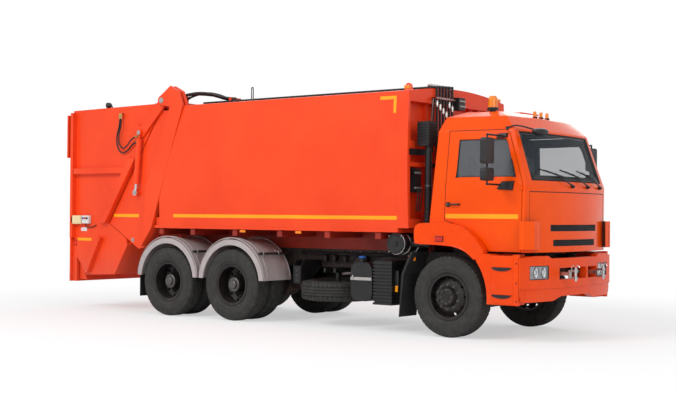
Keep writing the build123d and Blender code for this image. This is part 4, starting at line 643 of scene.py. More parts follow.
def sideStrip(bm, tree, ends, z, side, material=0, lift=0.0012):
    # a band on a side face between two heights, only where it has the surface behind it
    aim = Vector((0, -side, 0))
    landed = [
        x for x in spaced(*ends, stripes["probes"])
        if all(tree.ray_cast(at(x, side * besideY, height), aim)[0] for height in z)
    ]
    first, last = landed[0], landed[-1]
    count = max(1, math.ceil(abs(last - first) / stripes["step"]))
    grid = [
        [land(tree, at(x, side * besideY, height), aim) for x in spaced(first, last, count)]
        for height in spaced(*z, 2)
    ]
    addSheet(bm, grid, -aim * lift, material)


def makeStripes():
    for side, f in bothSides:
        bm = bmesh.new()
        for name in ("container", "cornerTop", "cornerSide"):
            sideStrip(bm, containerSkin, *stripes[name], f)
        sideStrip(bm, postSkin, *stripes["gusset"], f)
        makeObject(f"container_stripes_{side}", bm, "chassis", [stripePaint])
        bm = bmesh.new()
        sideStrip(bm, tailSkin, *stripes["hopper"], f)
        makeObject(f"tailgate_stripe_{side}", bm, "tailgate", [stripePaint])
        bm = bmesh.new()
        sideStrip(bm, cabSkin, *stripes["cabDoor"], f)
        makeObject(f"door_stripe_{side}", bm, f"door_{side}", [stripePaint])


makeStripes()
print("stripes")


# glass seals and the dark band round the windscreen

glazing = {
    "screen": ((-0.950, 2.013), (0.950, 2.013), (0.916, 2.614), (-0.916, 2.614)),
    "door": ((3.780, 2.050), (3.800, 2.529), (4.449, 2.529), (4.482, 2.479), (4.624, 2.050)),
    "seal": 0.010, "doorSeal": 0.009, "band": (0.952, 0.80, 0.90),  # its inner edge: sides, foot, top
}


def makeGlazing():
    bm = bmesh.new()
    outline = [at(5.2, y, z) for y, z in glazing["screen"]]
    outer = divided(outline, 0.08)
    addTube(bm, landLine(cabSkin, outer, (-1, 0, 0), 0.002), glazing["seal"], 0, 10, 1, True)
    middle = sum(outline, Vector()) / len(outline)
    across, foot, top = glazing["band"]
    inner = [
        middle + Vector((0, p.y * across, p.z * (foot if p.z < 0 else top)))
        for p in (q - middle for q in outer)
    ]
    grid = [landLine(cabSkin, line + line[:1], (-1, 0, 0), 0.0) for line in (outer, inner)]
    addSheet(bm, grid, Vector((0.0025, 0, 0)), 1)
    makeObject("windscreen_seal", bm, "cab", [flapRubber, blackPlastic])
    for side, f in bothSides:
        bm = bmesh.new()
        outline = [at(x, f * besideY, z) for x, z in glazing["door"]]
        loop = landLine(cabSkin, divided(outline, 0.1), (0, -f, 0), 0.001)
        addTube(bm, loop, glazing["doorSeal"], 0, 10, 1, True)
        makeObject(f"door_glass_seal_{side}", bm, f"door_{side}", [flapRubber])


makeGlazing()
print("glazing seals")


# wipers, handles, lamps and grilles of the cab

wipers = {"pivots": (-0.12, 0.33, 0.79), "pivotZ": 1.945, "blade": 0.56, "bladeZ": (2.150, 2.045)}


def onFront(y, z, lift=0.0):
    return landLine(cabSkin, [at(5.4, y, z)], (-1, 0, 0), lift)[0]


def makeWipers():
    bm = bmesh.new()
    for y in wipers["pivots"]:
        seat = onFront(y, wipers["pivotZ"], -0.004)
        knob = onFront(y, wipers["pivotZ"], 0.045)
        addRod(bm, seat, knob, 0.024, 0, 20, 0.006, 0.018)
        left, right = y - 0.62, y - 0.62 + wipers["blade"]
        high, low = wipers["bladeZ"]
        blade = [onFront(*p, 0.022) for p in zip(spaced(left, right, 8), spaced(high, low, 8))]
        addTube(bm, blade, 0.009, 0, 8, 2)
        for k in range(0, 9, 2):
            addRod(bm, blade[k], blade[k] + Vector((0.016, 0, 0.004)), 0.006, 0, 8)
        addTube(bm, [p + Vector((0.016, 0, 0.004)) for p in blade[1:8]], 0.005, 0, 8, 2)
        middle = blade[4] + Vector((0.020, 0, 0.004))
        bend = onFront(y - 0.12, wipers["pivotZ"] + 0.035, 0.05)
        addTube(bm, [knob, bend, middle], 0.009, 0, 8, 6)
        addRod(bm, knob + (bend - knob) * 0.1, bend, 0.013, 0, 10, 0.003, 0.010)
    makeObject("wipers", bm, "cab", [blackPlastic])


handles = {
    "base": (3.673, 1.701),
    # x, z and distance off the door of the lever's line, and of the corners of the mirror brackets
    "lever": (
        (3.690, 1.701, 0.014), (3.72, 1.702, 0.034), (3.78, 1.703, 0.036), (3.835, 1.704, 0.030),
        (3.845, 1.704, 0.0),
    ),
    "brackets": (
        (0.008, (
            (4.385, 1.90, 0.028), (4.445, 1.985, 0.028), (4.610, 1.990, 0.028), (4.590, 1.885, 0.028),
            (4.375, 1.89, -0.004), (4.440, 1.995, -0.004), (4.620, 2.000, -0.004),
            (4.600, 1.875, -0.004),
        )),
        (0.006, (
            (4.33, 2.54, 0.030), (4.35, 2.590, 0.030), (4.47, 2.592, 0.030), (4.46, 2.548, 0.030),
            (4.32, 2.53, -0.004), (4.34, 2.600, -0.004), (4.48, 2.602, -0.004), (4.47, 2.538, -0.004),
        )),
    ),
}


def onSide(f, x, z, lift):
    return landLine(cabSkin, [at(x, f * besideY, z)], (0, -f, 0), lift)[0]


def makeHandles():
    for side, f in bothSides:
        out = Vector((0, f, 0))
        bm = bmesh.new()
        base = onSide(f, *handles["base"], -0.002)
        addTurned(bm, [(0, 0), (0.034, 0), (0.032, 0.010), (0.026, 0.016), (0, 0.018)], base, out, 0, 28)
        addRod(bm, base + out * 0.016, base + out * 0.022, 0.013, 1, 20, 0.002)
        addTube(bm, [onSide(f, *p) for p in handles["lever"]], 0.011, 0, 10, 5)
        makeObject(f"door_handle_{side}", bm, f"door_{side}", [blackPlastic, dullSteel])
        # the brackets that carry the mirror arms
        bm = bmesh.new()
        faces = [(0, 1, 2, 3), (7, 6, 5, 4)]
        faces += [(k, (k + 1) % 4, 4 + (k + 1) % 4, 4 + k) for k in range(4)]
        for edge, corners in handles["brackets"]:
            roundEdges(bm, addMesh(bm, [onSide(f, *p) for p in corners], faces), edge)
        makeObject(f"mirror_brackets_{side}", bm, f"door_{side}", [blackPlastic])


mirrors = {"x": 4.379, "y": 1.42, "panes": ((2.222, 2.498), (2.008, 2.133)), "half": 0.083}


def makeMirrorGlass():
    for side, f in bothSides:
        bm = bmesh.new()
        for low, high in mirrors["panes"]:
            y = f * mirrors["y"]
            half = mirrors["half"]
            corners = [(y - half, low), (y + half, low), (y + half, high), (y - half, high)]
            x = mirrors["x"] + axleShift
            addPlate(bm, corners, (x - 0.004, x + 0.004), "yz", 0, 0.003)
            rim = [Vector((x - 0.003, a, b)) for a, b in divided([Vector(c) for c in corners], 0.05)]
            addTube(bm, rim, 0.006, 1, 8, 1, True)
        looks = [mirrorGlass, blackPlastic]
        makeObject(f"mirror_glass_{side}", bm, f"door_{side}", looks)


kerbMirror = {"centre": (4.79, -0.76, 2.610), "half": (0.085, 0.150, 0.052)}


def makeKerbMirror():
    bm = bmesh.new()
    centre = at(*kerbMirror["centre"])
    made = bmesh.ops.create_uvsphere(bm, u_segments=28, v_segments=16, radius=1.0)["verts"]
    a, b, c = kerbMirror["half"]
    for v in made:
        swell = 1.0 + 0.25 * v.co.z
        v.co = Vector((v.co.x * a * swell, v.co.y * b, v.co.z * c)) + centre
    mount = land(cabSkin, at(4.46, -besideY, 2.66), Vector((0, 1, 0)))
    arm = [mount, mount + Vector((0.12, 0.02, 0.03)), centre + Vector((-0.02, -0.02, 0.02))]
    addTube(bm, arm, 0.010, 0, 10)
    addRod(bm, mount + Vector((0, 0.02, 0)), mount + Vector((0, -0.012, 0)), 0.026, 0, 18, 0.004)
    makeObject("kerb_mirror", bm, "cab", [blackPlastic])


grille = {
    "slots": ((1.4143, 0.618), (1.2264, 0.562)), "height": 0.076, "rows": 3, "pitch": 0.026,
    "seamY": 1.02, "seamZ": (1.865, 1.165),
}


def makeGrille():
    bm = bmesh.new()
    for z, half in grille["slots"]:
        low, high = around(z, grille["height"] / 2)

        def face(y, height, back):
            return at(4.92 - 0.152 * (y / 1.1) ** 2 - back, y, height)
        columns = spaced(-half, half, 24)
        grid = [[face(y, height, 0.016) for y in columns] for height in (low, high)]
        addSheet(bm, grid, Vector((0.001, 0, 0)), 1)
        for height in spaced(low, high, grille["rows"]):
            addTube(bm, [face(y, height, 0.010) for y in columns], 0.0035, 0, 6, 1)
        for y in spaced(-half, half, int(2 * half / grille["pitch"])):
            addRod(bm, face(y, low, 0.011), face(y, high, 0.011), 0.003, 0, 6)
    makeObject("grille_mesh", bm, "cab", [blackPlastic, flapRubber])
    # the seams of the front flap that opens below the windscreen
    bm = bmesh.new()
    half, (top, foot) = grille["seamY"], grille["seamZ"]
    addTube(bm, [onFront(y, top) for y in spaced(-half, half, 28)], 0.005, 0, 8, 1)
    for f in (-1, 1):
        addTube(bm, [onFront(f * half, z, -0.001) for z in spaced(top, foot, 10)], 0.003, 0, 8, 1)
    makeObject("front_flap_seams", bm, "cab", [flapRubber])


headlamp = {
    "y": (0.685, 1.064), "z": (0.780, 0.945), "bowls": (0.765, 0.925), "bowlR": 0.070, "arc": 0.13,
    "bulb": ((0, 0.014), (0.017, 0.012), (0.022, 0.004), (0.022, 0.0)),
}


def bumperFace(y, z, back=0.0):
    return at(4.92 - headlamp["arc"] * (y / 1.24) ** 2 - back, y, z)


def makeHeadlamps():
    low, high = headlamp["z"]
    middle = (low + high) / 2
    for side, f in bothSides:
        bm = bmesh.new()
        ys = [f * y for y in spaced(*headlamp["y"], 8)]
        cover = [[bumperFace(y, z, 0.006) for y in ys] for z in (low + 0.004, middle, high - 0.004)]
        addSheet(bm, cover, Vector((0.001, 0, 0)), 0)
        rim = [bumperFace(y, low, 0.004) for y in ys] + [bumperFace(y, high, 0.004) for y in ys[::-1]]
        addTube(bm, rim, 0.006, 1, 8, 1, True)
        for y in headlamp["bowls"]:
            r = headlamp["bowlR"]
            centre = bumperFace(f * y, middle, 0.033)
            bowl = [(r * s, 0.020 * s * s) for s in (0.0, 0.2, 0.4, 0.6, 0.8, 0.94, 1.0)]
            bowl += [(r * 1.04, 0.020), (r * 1.04, 0.0)]
            addTurned(bm, bowl, centre, (1, 0, 0), 2, 36)
            addTurned(bm, headlamp["bulb"], centre, (1, 0, 0), 3, 24)
            addTurned(
                bm, [(r * 0.96, 0.019), (r * 1.03, 0.019), (r * 1.03, 0.023), (r * 0.96, 0.023)],
                centre, (1, 0, 0), 1, 36, True,
            )
        makeObject(
            f"headlamp_unit_{side}", bm, "chassis", [lampLens, blackPlastic, chromeSteel, whitePlastic],
        )


repeater = {"x": (3.560, 3.668), "z": (1.236, 1.290)}


def makeRepeaters():
    fenderSkin = surfaceOf("cab_fenders")
    for side, f in bothSides:
        bm = bmesh.new()
        xSpan, zSpan = repeater["x"], repeater["z"]
        border = [(low - 0.008, high + 0.008) for low, high in (xSpan, zSpan)]
        sideStrip(bm, fenderSkin, *border, f, 1, 0.004)
        sideStrip(bm, fenderSkin, xSpan, zSpan, f, 0, 0.012)
        makeObject(f"side_repeater_{side}", bm, "cab", [redLens, blackPlastic])


makeWipers()
makeHandles()
makeMirrorGlass()
makeKerbMirror()
makeGrille()
makeHeadlamps()
makeRepeaters()
print("cab fittings")


# step panels with their foot holes, roof lamps, hatch, tow pins

def beside(place, *offsets):
    return [place + Vector(offset) for offset in offsets]


stepPanel = {
    "x": (4.368, 4.690), "y": 1.242, "z": (0.480, 1.075), "treads": (0.925, 0.588),
    "tread": (0.142, 0.046), "bolts": (4.735, (0.52, 0.74, 0.98)),
}


def makeSteps():
    half, depth = stepPanel["tread"]
    bow = [(math.cos(t), math.sin(t)) for t in spaced(0, math.pi, 12)]
    middle = sum(stepPanel["x"]) / 2 + axleShift
    for side, f in bothSides:
        bm = bmesh.new()
        y = f * stepPanel["y"]
        addBox(bm, stepPanel["x"], (y - f * 0.006, y), stepPanel["z"], 0, 0.001)
        for top in stepPanel["treads"]:
            tray = [(middle + half * c, top - depth * s) for c, s in bow]
            addPlate(bm, tray, (y - f * 0.002, y + f * 0.007), "xz", 1, 0.002)
            for x in spaced(middle - half * 0.9, middle + half * 0.9, 12):
                tooth = Vector((x, y + f * 0.003, top))
                addRod(bm, *beside(tooth, (0, 0, -0.002), (0, 0, 0.006)), 0.005, 1, 8, 0.001)
            addTube(bm, [Vector((x, y + f * 0.004, z)) for x, z in tray], 0.004, 0, 8, 1)
        x, heights = stepPanel["bolts"]
        for z in heights:
            addNut(bm, at(x, f * 1.240, z), (0, f, 0), 0.014, 0.006, 1)
        makeObject(f"step_panels_{side}", bm, "chassis", [bumperPaint, blackPlastic])


fender = {
    "outer": (
        (3.228, 1.196), (3.222, 1.350), (3.240, 1.420), (3.300, 1.456), (3.450, 1.465), (3.700, 1.466),
        (3.840, 1.450), (3.980, 1.400), (4.110, 1.308), (4.210, 1.205), (4.262, 1.130),
    ),
    "foot": (4.262, 1.012),  # on the step box
    "inner": (
        (4.128, 1.012), (4.065, 1.068), (3.985, 1.118), (3.890, 1.153), (3.780, 1.176), (3.600, 1.188),
        (3.420, 1.192), (3.300, 1.194),
    ),
    "span": (1.238, 1.128), "liner": (1.150, 0.825), "linerZ": (0.004, 0.012),
}


def makeFenders():
    outer, inner = (
        [(p.x, p.z) for p in smoothPath([at(x, 0, z) for x, z in fender[edge]], 3)]
        for edge in ("outer", "inner")
    )
    foot = (fender["foot"][0] + axleShift, fender["foot"][1])
    low, high = fender["linerZ"]
    bm = bmesh.new()
    for f in (-1, 1):
        outside, inside = (f * y for y in fender["span"])
        addPlate(bm, outer + [foot] + inner, (outside, inside), "xz", 0, 0.012)
        rolled = [Vector((x, outside - f * 0.004, z + 0.004)) for x, z in inner]
        addTube(bm, rolled, 0.010, 0, 10, 1)
        skin = [(x, z + low) for x, z in inner] + [(x, z + high) for x, z in inner[::-1]]
        addPlate(bm, skin, [f * y for y in fender["liner"]], "xz", 1)
    arches = makeObject("fender_arches", bm, "cab", [bumperPaint, flapRubber], 40)
    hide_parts("cab_fenders")


roofFittings = {
    "beacon": (4.008, -0.593, 2.86),
    "base": (
        (0, 0.0), (0.040, 0.0), (0.040, 0.070), (0.072, 0.074), (0.074, 0.098), (0.066, 0.108),
        (0, 0.108),
    ),
    "dome": ((0, 0.106), (0.062, 0.106), (0.060, 0.20), (0.056, 0.235), (0.042, 0.256), (0, 0.262)),
    "bulb": ((0, 0.12), (0.022, 0.12), (0.030, 0.16), (0.022, 0.20), (0, 0.20)),
    "ribs": (18, (0.061, 0.112), (0.056, 0.225)),
    "cable": ((-0.03, 0.0, 0.085), (-0.11, 0.03, 0.060), (-0.16, 0.10, 0.030), (-0.165, 0.20, 0.022)),
    "markers": (4.381, (-0.165, 0.0, 0.165)),
    "marker": (
        (0, 0.0), (0.022, 0.0), (0.022, 0.050), (0.018, 0.064), (0.009, 0.070), (0, 0.071),
    ),
    "hatch": ((3.985, 4.205), (-0.20, 0.28), (2.890, 2.928)),
    "aerial": (3.80, 0.18),
    "socket": (
        (0, -0.004), (0.022, -0.004), (0.020, 0.012), (0.008, 0.024), (0.006, 0.045), (0, 0.046),
    ),
}


def makeRoofFittings():
    bm = bmesh.new()
    foot = at(*roofFittings["beacon"])
    addTurned(bm, roofFittings["base"], foot, upward, 1, 40)
    addTurned(bm, roofFittings["dome"], foot, upward, 0, 40)
    count, (lowR, lowZ), (highR, highZ) = roofFittings["ribs"]
    for turn in turnsRound(count):
        out = Vector((math.cos(turn), math.sin(turn), 0))
        rib = beside(foot, upward * lowZ + out * lowR, upward * highZ + out * highR)
        addRod(bm, *rib, 0.003, 0, 6)
    addTurned(bm, roofFittings["bulb"], foot, upward, 2, 20)
    addTube(bm, beside(foot, *roofFittings["cable"]), 0.006, 1, 8)
    lamps = makeObject("roof_beacon", bm, "cab", [amberLens, blackPlastic, chromeSteel])
    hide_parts("roof_lamps")
    roofSkin = surfaceOf("cab_shell")
    bm = bmesh.new()
    x, rows = roofFittings["markers"]
    for y in rows:
        seat = land(roofSkin, at(x, y, 3.4), -upward)
        addBlock(bm, *beside(seat, (-0.036, -0.022, -0.01), (0.036, 0.022, 0.012)), 1, 0.004)
        addTurned(bm, roofFittings["marker"], seat + Vector((0.006, 0, 0.010)), upward, 0, 24)
    makeObject("roof_markers", bm, "cab", [amberLens, blackPlastic])
    bm = bmesh.new()
    (x0, x1), (y0, y1), (z0, z1) = roofFittings["hatch"]
    addBox(bm, (x0, x1), (y0, y1), (z0, z1), 0, 0.014)
    addBox(bm, (x0 - 0.015, x1 + 0.015), (y0 - 0.015, y1 + 0.015), (z0, z0 + 0.016), 1, 0.004)
    seat = land(roofSkin, at(*roofFittings["aerial"], 3.4), -upward)
    addTurned(bm, roofFittings["socket"], seat, upward, 2, 24)
    makeObject("roof_hatch", bm, "cab", [cabPaint, flapRubber, dullSteel])


tow = {
    "x": 5.10, "y": 0.39, "z": (0.748, 0.925), "r": 0.0162, "collarZ": 0.888, "grip": (0.055, 0.030),
    "collar": ((0, 0), (0.026, 0), (0.026, 0.010), (0, 0.010)),
}


def makeTowPins():
    bm = bmesh.new()
    x, (low, high) = tow["x"], tow["z"]
    long, tall = tow["grip"]
    for f in (-1, 1):
        y = f * tow["y"]
        addRod(bm, at(x, y, low), at(x, y, high), tow["r"], 0, 24, 0.004)
        addTurned(bm, tow["collar"], at(x, y, tow["collarZ"]), upward, 0, 24)
        grip = [
            at(x - long * math.cos(t), y, high - 0.004 + tall * math.sin(t))
            for t in (3.14, 2.35, 1.57, 0.8, 0.0)
        ]
        addTube(bm, grip + [at(x - long - 0.0002, y, 0.885)], 0.006, 0, 10, 4)
    makeObject("tow_pins", bm, "chassis", [chromeSteel])


makeSteps()
makeFenders()
makeRoofFittings()
makeTowPins()
print("steps, roof and tow pins")


# seats as crowned cushions on their frames

seat = {
    "y": 0.590, "cushion": ((3.735, 4.250), 0.235, (1.752, 1.868)),
    "backHalf": (0.290, 0.232, 0.058), "backTurn": -84, "backPlace": (3.790, 2.085),
    "frame": (
        ((3.80, 4.10), 0.18, (1.480, 1.520), 0.008), ((3.82, 3.86), 0.15, (1.515, 1.70), 0.006),
        ((4.04, 4.08), 0.15, (1.515, 1.70), 0.006), ((3.760, 4.180), 0.21, (1.695, 1.760), 0.012),
    ),
    "power": 5.0, "channel": (0.10, 0.05), "stiffness": 0.8,
}


def addCushion(bm, low, high, crown, channels):
    # a closed pillow: rounded all over, crowned, with channels sewn across
    low, high = Vector(low), Vector(high)
    middle, half = (low + high) / 2, (high - low) / 2
    made = bmesh.ops.create_cube(bm, size=2.0)["verts"]
    edges = list({e for v in made for e in v.link_edges})
    bmesh.ops.subdivide_edges(bm, edges=edges, cuts=11, use_grid_fill=True)
    power, (depth, width) = seat["power"], seat["channel"]
    for v in bm.verts:
        q = v.co / sum(abs(c) ** power for c in v.co) ** (1 / power)
        swell = crown * (1 - q.x * q.x) * (1 - q.y * q.y)
        dent = sum(depth * math.exp(-((q.y - c) / width) ** 2) for c in channels)
        v.co = middle + Vector((q.x * half.x, q.y * half.y, q.z * half.z * (1 + swell - dent)))


def makeSeats():
    for side, f in bothSides:
        y = f * seat["y"]
        bm = bmesh.new()
        (x0, x1), half, (z0, z1) = seat["cushion"]
        addCushion(bm, at(x0, y - half, z0), at(x1, y + half, z1), 0.18, (-0.45, 0.45))
        pad = makeObject(f"seat_cushion_{side}", bm, "cab", [seatCloth], 60)
        bm = bmesh.new()
        half = Vector(seat["backHalf"])
        addCushion(bm, -half, half, 0.22, (-0.5, 0.5))
        turn = Matrix.Rotation(math.radians(seat["backTurn"]), 4, "Y")
        turn.translation = at(seat["backPlace"][0], y, seat["backPlace"][1])
        bmesh.ops.transform(bm, matrix=turn, verts=bm.verts)
        back = makeObject(f"seat_back_{side}", bm, "cab", [seatCloth], 60)
        bm = bmesh.new()
        for xSpan, half, zSpan, edge in seat["frame"]:
            addBox(bm, xSpan, around(y, half), zSpan, 0, edge)
        makeObject(f"seat_frame_{side}", bm, "cab", [blackPlastic])
    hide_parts("seats")


makeSeats()
print("seats")


# the container: front fittings, roof hoses and loops, rear pins

frontFittings = {
    "hoseY": (-0.600, -0.524, -0.448, -0.372, -0.296, -0.220), "hoseX": 3.148, "hoseZ": (3.040, 1.700),
    "roof": ((3.000, 3.050), 3.318), "beamNuts": (3.242, (-0.17, -0.058), (3.120, 3.050)),
    "box": ((2.985, 3.105), (-1.10, -0.90), (1.86, 2.18)),
    "manifold": ((3.122, 3.172), (-0.66, -0.16), (3.115, 3.150)),
    "loose": (
        (3.13, 0.06, 3.130), (3.17, 0.02, 3.10), (3.165, 0, 2.95), (3.150, 0, 2.60), (3.150, 0, 2.40),
    ),
    "looseY": (-0.70, -0.745), "lamp": (3.05, 1.15, (3.215, 3.265)),
}


def makeFrontFittings():
    ahead = Vector((1, 0, 0))
    bm = bmesh.new()
    (x0, x1), roofZ = frontFittings["roof"]
    top, low = frontFittings["hoseZ"]
    for y in frontFittings["hoseY"]:
        drop = 0.045 * (round(y / 0.076) * 5 % 4)  # the hoses join at uneven heights
        for z in (top - drop, low):
            foot = at(frontFittings["hoseX"], y, z)
            addRod(bm, foot, foot + upward * 0.045, 0.0205, 0, 6)
            addRod(bm, foot - upward * 0.022, foot + upward * 0.066, 0.0185, 0, 16, 0.003)
        addRod(bm, at(x0, y, roofZ), at(x1, y, roofZ), 0.0195, 0, 16, 0.003)
    xSpan, ySpan, zSpan = frontFittings["manifold"]
    addBox(bm, xSpan, ySpan, zSpan, 1, 0.005)
    for y in spaced(ySpan[0] + 0.03, ySpan[1] - 0.03, 8):
        addNut(bm, at(xSpan[1], y, sum(zSpan) / 2), ahead, 0.022, 0.016, 0)
    x, ySpan, heights = frontFittings["beamNuts"]
    for y in spaced(*ySpan, 4):
        for z in heights:
            addNut(bm, at(x, y, z), ahead, 0.020, 0.018, 0)
    # two loose lines that drop from the manifold beside the hoses
    for k, y in enumerate(frontFittings["looseY"]):
        addTube(bm, [at(x, y + dy, z) for x, dy, z in frontFittings["loose"]], 0.010, 2 + k, 10, 6)
    looks = [bareSteel, subframePaint, hoseRubber, dullSteel]
    makeObject("front_hose_fittings", bm, "chassis", looks)
    bm = bmesh.new()
    (x0, x1), (y0, y1), (z0, z1) = frontFittings["box"]
    addBox(bm, (x0, x1), (y0, y1), (z0, z1), 0, 0.010)
    addBox(bm, (x1 - 0.004, x1 + 0.008), (y0 + 0.012, y1 - 0.012), (z0 + 0.03, z1 - 0.03), 0, 0.004)
    rows = spaced(y0 + 0.05, y0 + 0.15, 2)
    for y in rows:
        for z in (z0 + 0.06, z1 - 0.06):
            addNut(bm, at(x1 + 0.008, y, z), ahead, 0.024, 0.022, 1)
    for y in rows:
        foot = at(x1, y, z0)
        addTube(bm, beside(foot, (0.03, 0, 0.06), (0.05, 0, 0), (0.02, 0, -0.25)), 0.008, 0, 8)
    makeObject("valve_box", bm, "chassis", [blackPlastic, bareSteel])
    bm = bmesh.new()
    x, y, zSpan = frontFittings["lamp"]
    for f in (-1, 1):
        addBox(bm, around(x, 0.04), around(f * y, 0.03), zSpan, 0, 0.012)
    makeObject("clearance_lamps", bm, "chassis", [amberLens])


roofHoses = {
    "rows": (-0.560, -0.505, -0.450, -0.395), "radius": 0.017,
    "route": (
        (-0.60, 3.318), (-0.82, 3.352), (-1.02, 3.405), (-1.20, 3.432), (-1.36, 3.420), (-1.47, 3.385),
    ),
    "clamps": (
        ((-1.54, -1.50), (-1.02, -0.62), (3.290, 3.405), 0.006),
        ((-0.66, -0.62), (-0.60, -0.36), (3.272, 3.345), 0.004),
    ),
    "loop": (0.266, 1.09), "loopLine": (
        (-0.016, 3.205), (-0.016, 3.380), (0, 3.400), (0.016, 3.380), (0.016, 3.205),
    ),
}


def makeRoofHoses():
    bm = bmesh.new()
    for k, y in enumerate(roofHoses["rows"]):
        fan = 0.035 * (k - 1.5)
        route = [
            at(x, y - 0.30 * (i / 5) ** 1.5 + fan * i / 5, z + 0.018 * math.sin(1.7 * k + i))
            for i, (x, z) in enumerate(roofHoses["route"])
        ]
        addTube(bm, route, roofHoses["radius"], 0, 10, 6)
        addRod(bm, *beside(route[-1], (0.03, 0, 0.012), (-0.05, 0, -0.02)), 0.022, 1, 14, 0.003)
    for xSpan, ySpan, zSpan, edge in roofHoses["clamps"]:
        addBox(bm, xSpan, ySpan, zSpan, 2, edge)
    looks = [hoseRubber, dullSteel, containerPaint]
    makeObject("roof_hose_bundle", bm, "chassis", looks)
    bm = bmesh.new()
    x, y = roofHoses["loop"]
    for f in (-1, 1):
        addTube(bm, [at(x + dx, f * y, z) for dx, z in roofHoses["loopLine"]], 0.008, 0, 10, 6)
    makeObject("roof_loops", bm, "chassis", [dullSteel])


# body, x, z, y and radius
pins = {
    "hinge": ("chassis", -1.464, 3.291, 1.250, 0.030), "top": ("tailgate", -1.962, 2.812, 1.252, 0.024),
    "foot": ("chassis", -2.044, 1.880, 1.250, 0.024), "latch": ("chassis", -2.166, 1.139, 1.250, 0.022),
}


def makePinCaps():
    for name, (body, x, z, y, r) in pins.items():
        bm = bmesh.new()
        cap = [(0, -0.006), (r * 1.5, -0.006), (r * 1.5, 0.004)]
        cap += [(r, 0.006), (r * 0.9, 0.012), (0, 0.012)]
        for f in (-1, 1):
            out = Vector((0, f, 0))
            place = at(x, f * y, z)
            if name == "latch":
                place = land(postSkin, at(x, f * besideY, z), -out)
            addTurned(bm, cap, place, out, 0, 28)
            addNut(bm, place + upward * r * 1.2 + out * 0.003, out, 0.012, 0.006, 0)
        makeObject(f"{name}_pin_caps", bm, body, [bareSteel])


intake = {
    "x": 3.267, "y": -0.975, "ribs": (1.46, 1.92, 16), "clampGap": 0.03,
    "rib": ((0.041, -0.010), (0.052, -0.004), (0.052, 0.004), (0.041, 0.010)),
    "clamp": ((0.043, -0.009), (0.051, -0.009), (0.051, 0.009), (0.043, 0.009)),
    "head": ((3.15, 3.33), (-1.08, -0.87), (2.49, 2.77)), "holes": (8, 5),
}


def makeIntakeParts():
    bm = bmesh.new()
    low, high, count = intake["ribs"]
    for z in spaced(low, high, count):
        addTurned(bm, intake["rib"], at(intake["x"], intake["y"], z), upward, 0, 32, True)
    for z in (low - intake["clampGap"], high + intake["clampGap"]):
        addTurned(bm, intake["clamp"], at(intake["x"], intake["y"], z), upward, 1, 32, True)
    (x0, x1), (y0, y1), (z0, z1) = intake["head"]
    rows, columns = intake["holes"]
    for row in range(rows):
        z = z0 + (z1 - z0) * (row + 0.5) / rows
        for k in range(columns):
            share = (k + 0.5) / columns
            x, y = x0 + (x1 - x0) * share, y0 + (y1 - y0) * share
            addRod(bm, at(x, y0 + 0.004, z), at(x, y0 - 0.008, z), 0.013, 0, 10, 0.004)
            addRod(bm, at(x1 - 0.004, y, z), at(x1 + 0.008, y, z), 0.015, 0, 10, 0.004)
    makeObject("intake_ribs", bm, "chassis", [blackPlastic, dullSteel])


makeIntakeParts()
makeFrontFittings()
makeRoofHoses()
makePinCaps()
print("container fittings")


# the tailgate: cylinder hoses, lamps, switch boxes

tailHoses = {
    "diameter": 0.022,
    # name, length, distance from the middle plane, and the curve's control points
    "routes": (
        ("outer", 1.03, 1.200, (
            (-2.450, 3.085), (-2.450, 2.960), (-2.520, 2.800), (-2.515, 2.610), (-2.410, 2.500),
            (-2.270, 2.530), (-2.150, 2.650), (-2.035, 2.680),
        )),
        ("inner", 0.92, 1.222, (
            (-2.395, 3.085), (-2.395, 2.960), (-2.455, 2.800), (-2.440, 2.650), (-2.360, 2.570),
            (-2.255, 2.610), (-2.150, 2.735), (-2.035, 2.755),
        )),
    ),
}


def makeHose(name, points, diameter, body):
    curve = bpy.data.curves.new(name, "CURVE")
    curve.dimensions = "3D"
    curve.bevel_depth = diameter / 2
    curve.bevel_resolution = 5
    curve.use_fill_caps = True
    curve.resolution_u = 10
    spline = curve.splines.new("NURBS")
    spline.points.add(len(points) - 1)
    for knot, p in zip(spline.points, points):
        knot.co = (*p, 1.0)
    spline.order_u = 3
    spline.use_endpoint_u = True
    curve.materials.append(hoseRubber)
    thing = bpy.data.objects.new(name, curve)
    bpy.context.scene.collection.objects.link(thing)
    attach(thing, body)
    return thing


def makeTailHoses():
    bm = bmesh.new()
    for side, f in bothSides:
        for name, length, y, route in tailHoses["routes"]:
            points = [at(x, f * y, z) for x, z in route]
            hose = makeHose(f"lift_hose_{name}_{side}", points, tailHoses["diameter"], "tailgate")
            start, end = points[0], points[-1]
            addRod(bm, *beside(start, (0, 0, -0.035), (0, 0, 0.050)), 0.0150, 0, 14, 0.003)
            addRod(bm, *beside(start, (0, 0, 0), (0, 0, 0.024)), 0.020, 0, 6)
            addRod(bm, *beside(start, (0, 0, 0.040), (0, -f * 0.05, 0.045)), 0.012, 0, 12)
            addRod(bm, *beside(end, (-0.035, 0, 0), (0.028, 0, 0)), 0.0150, 0, 14, 0.003)
            addRod(bm, *beside(end, (0, 0, 0), (0.018, 0, 0)), 0.020, 0, 6)
    makeObject("lift_hose_ends", bm, "tailgate", [brassFitting])


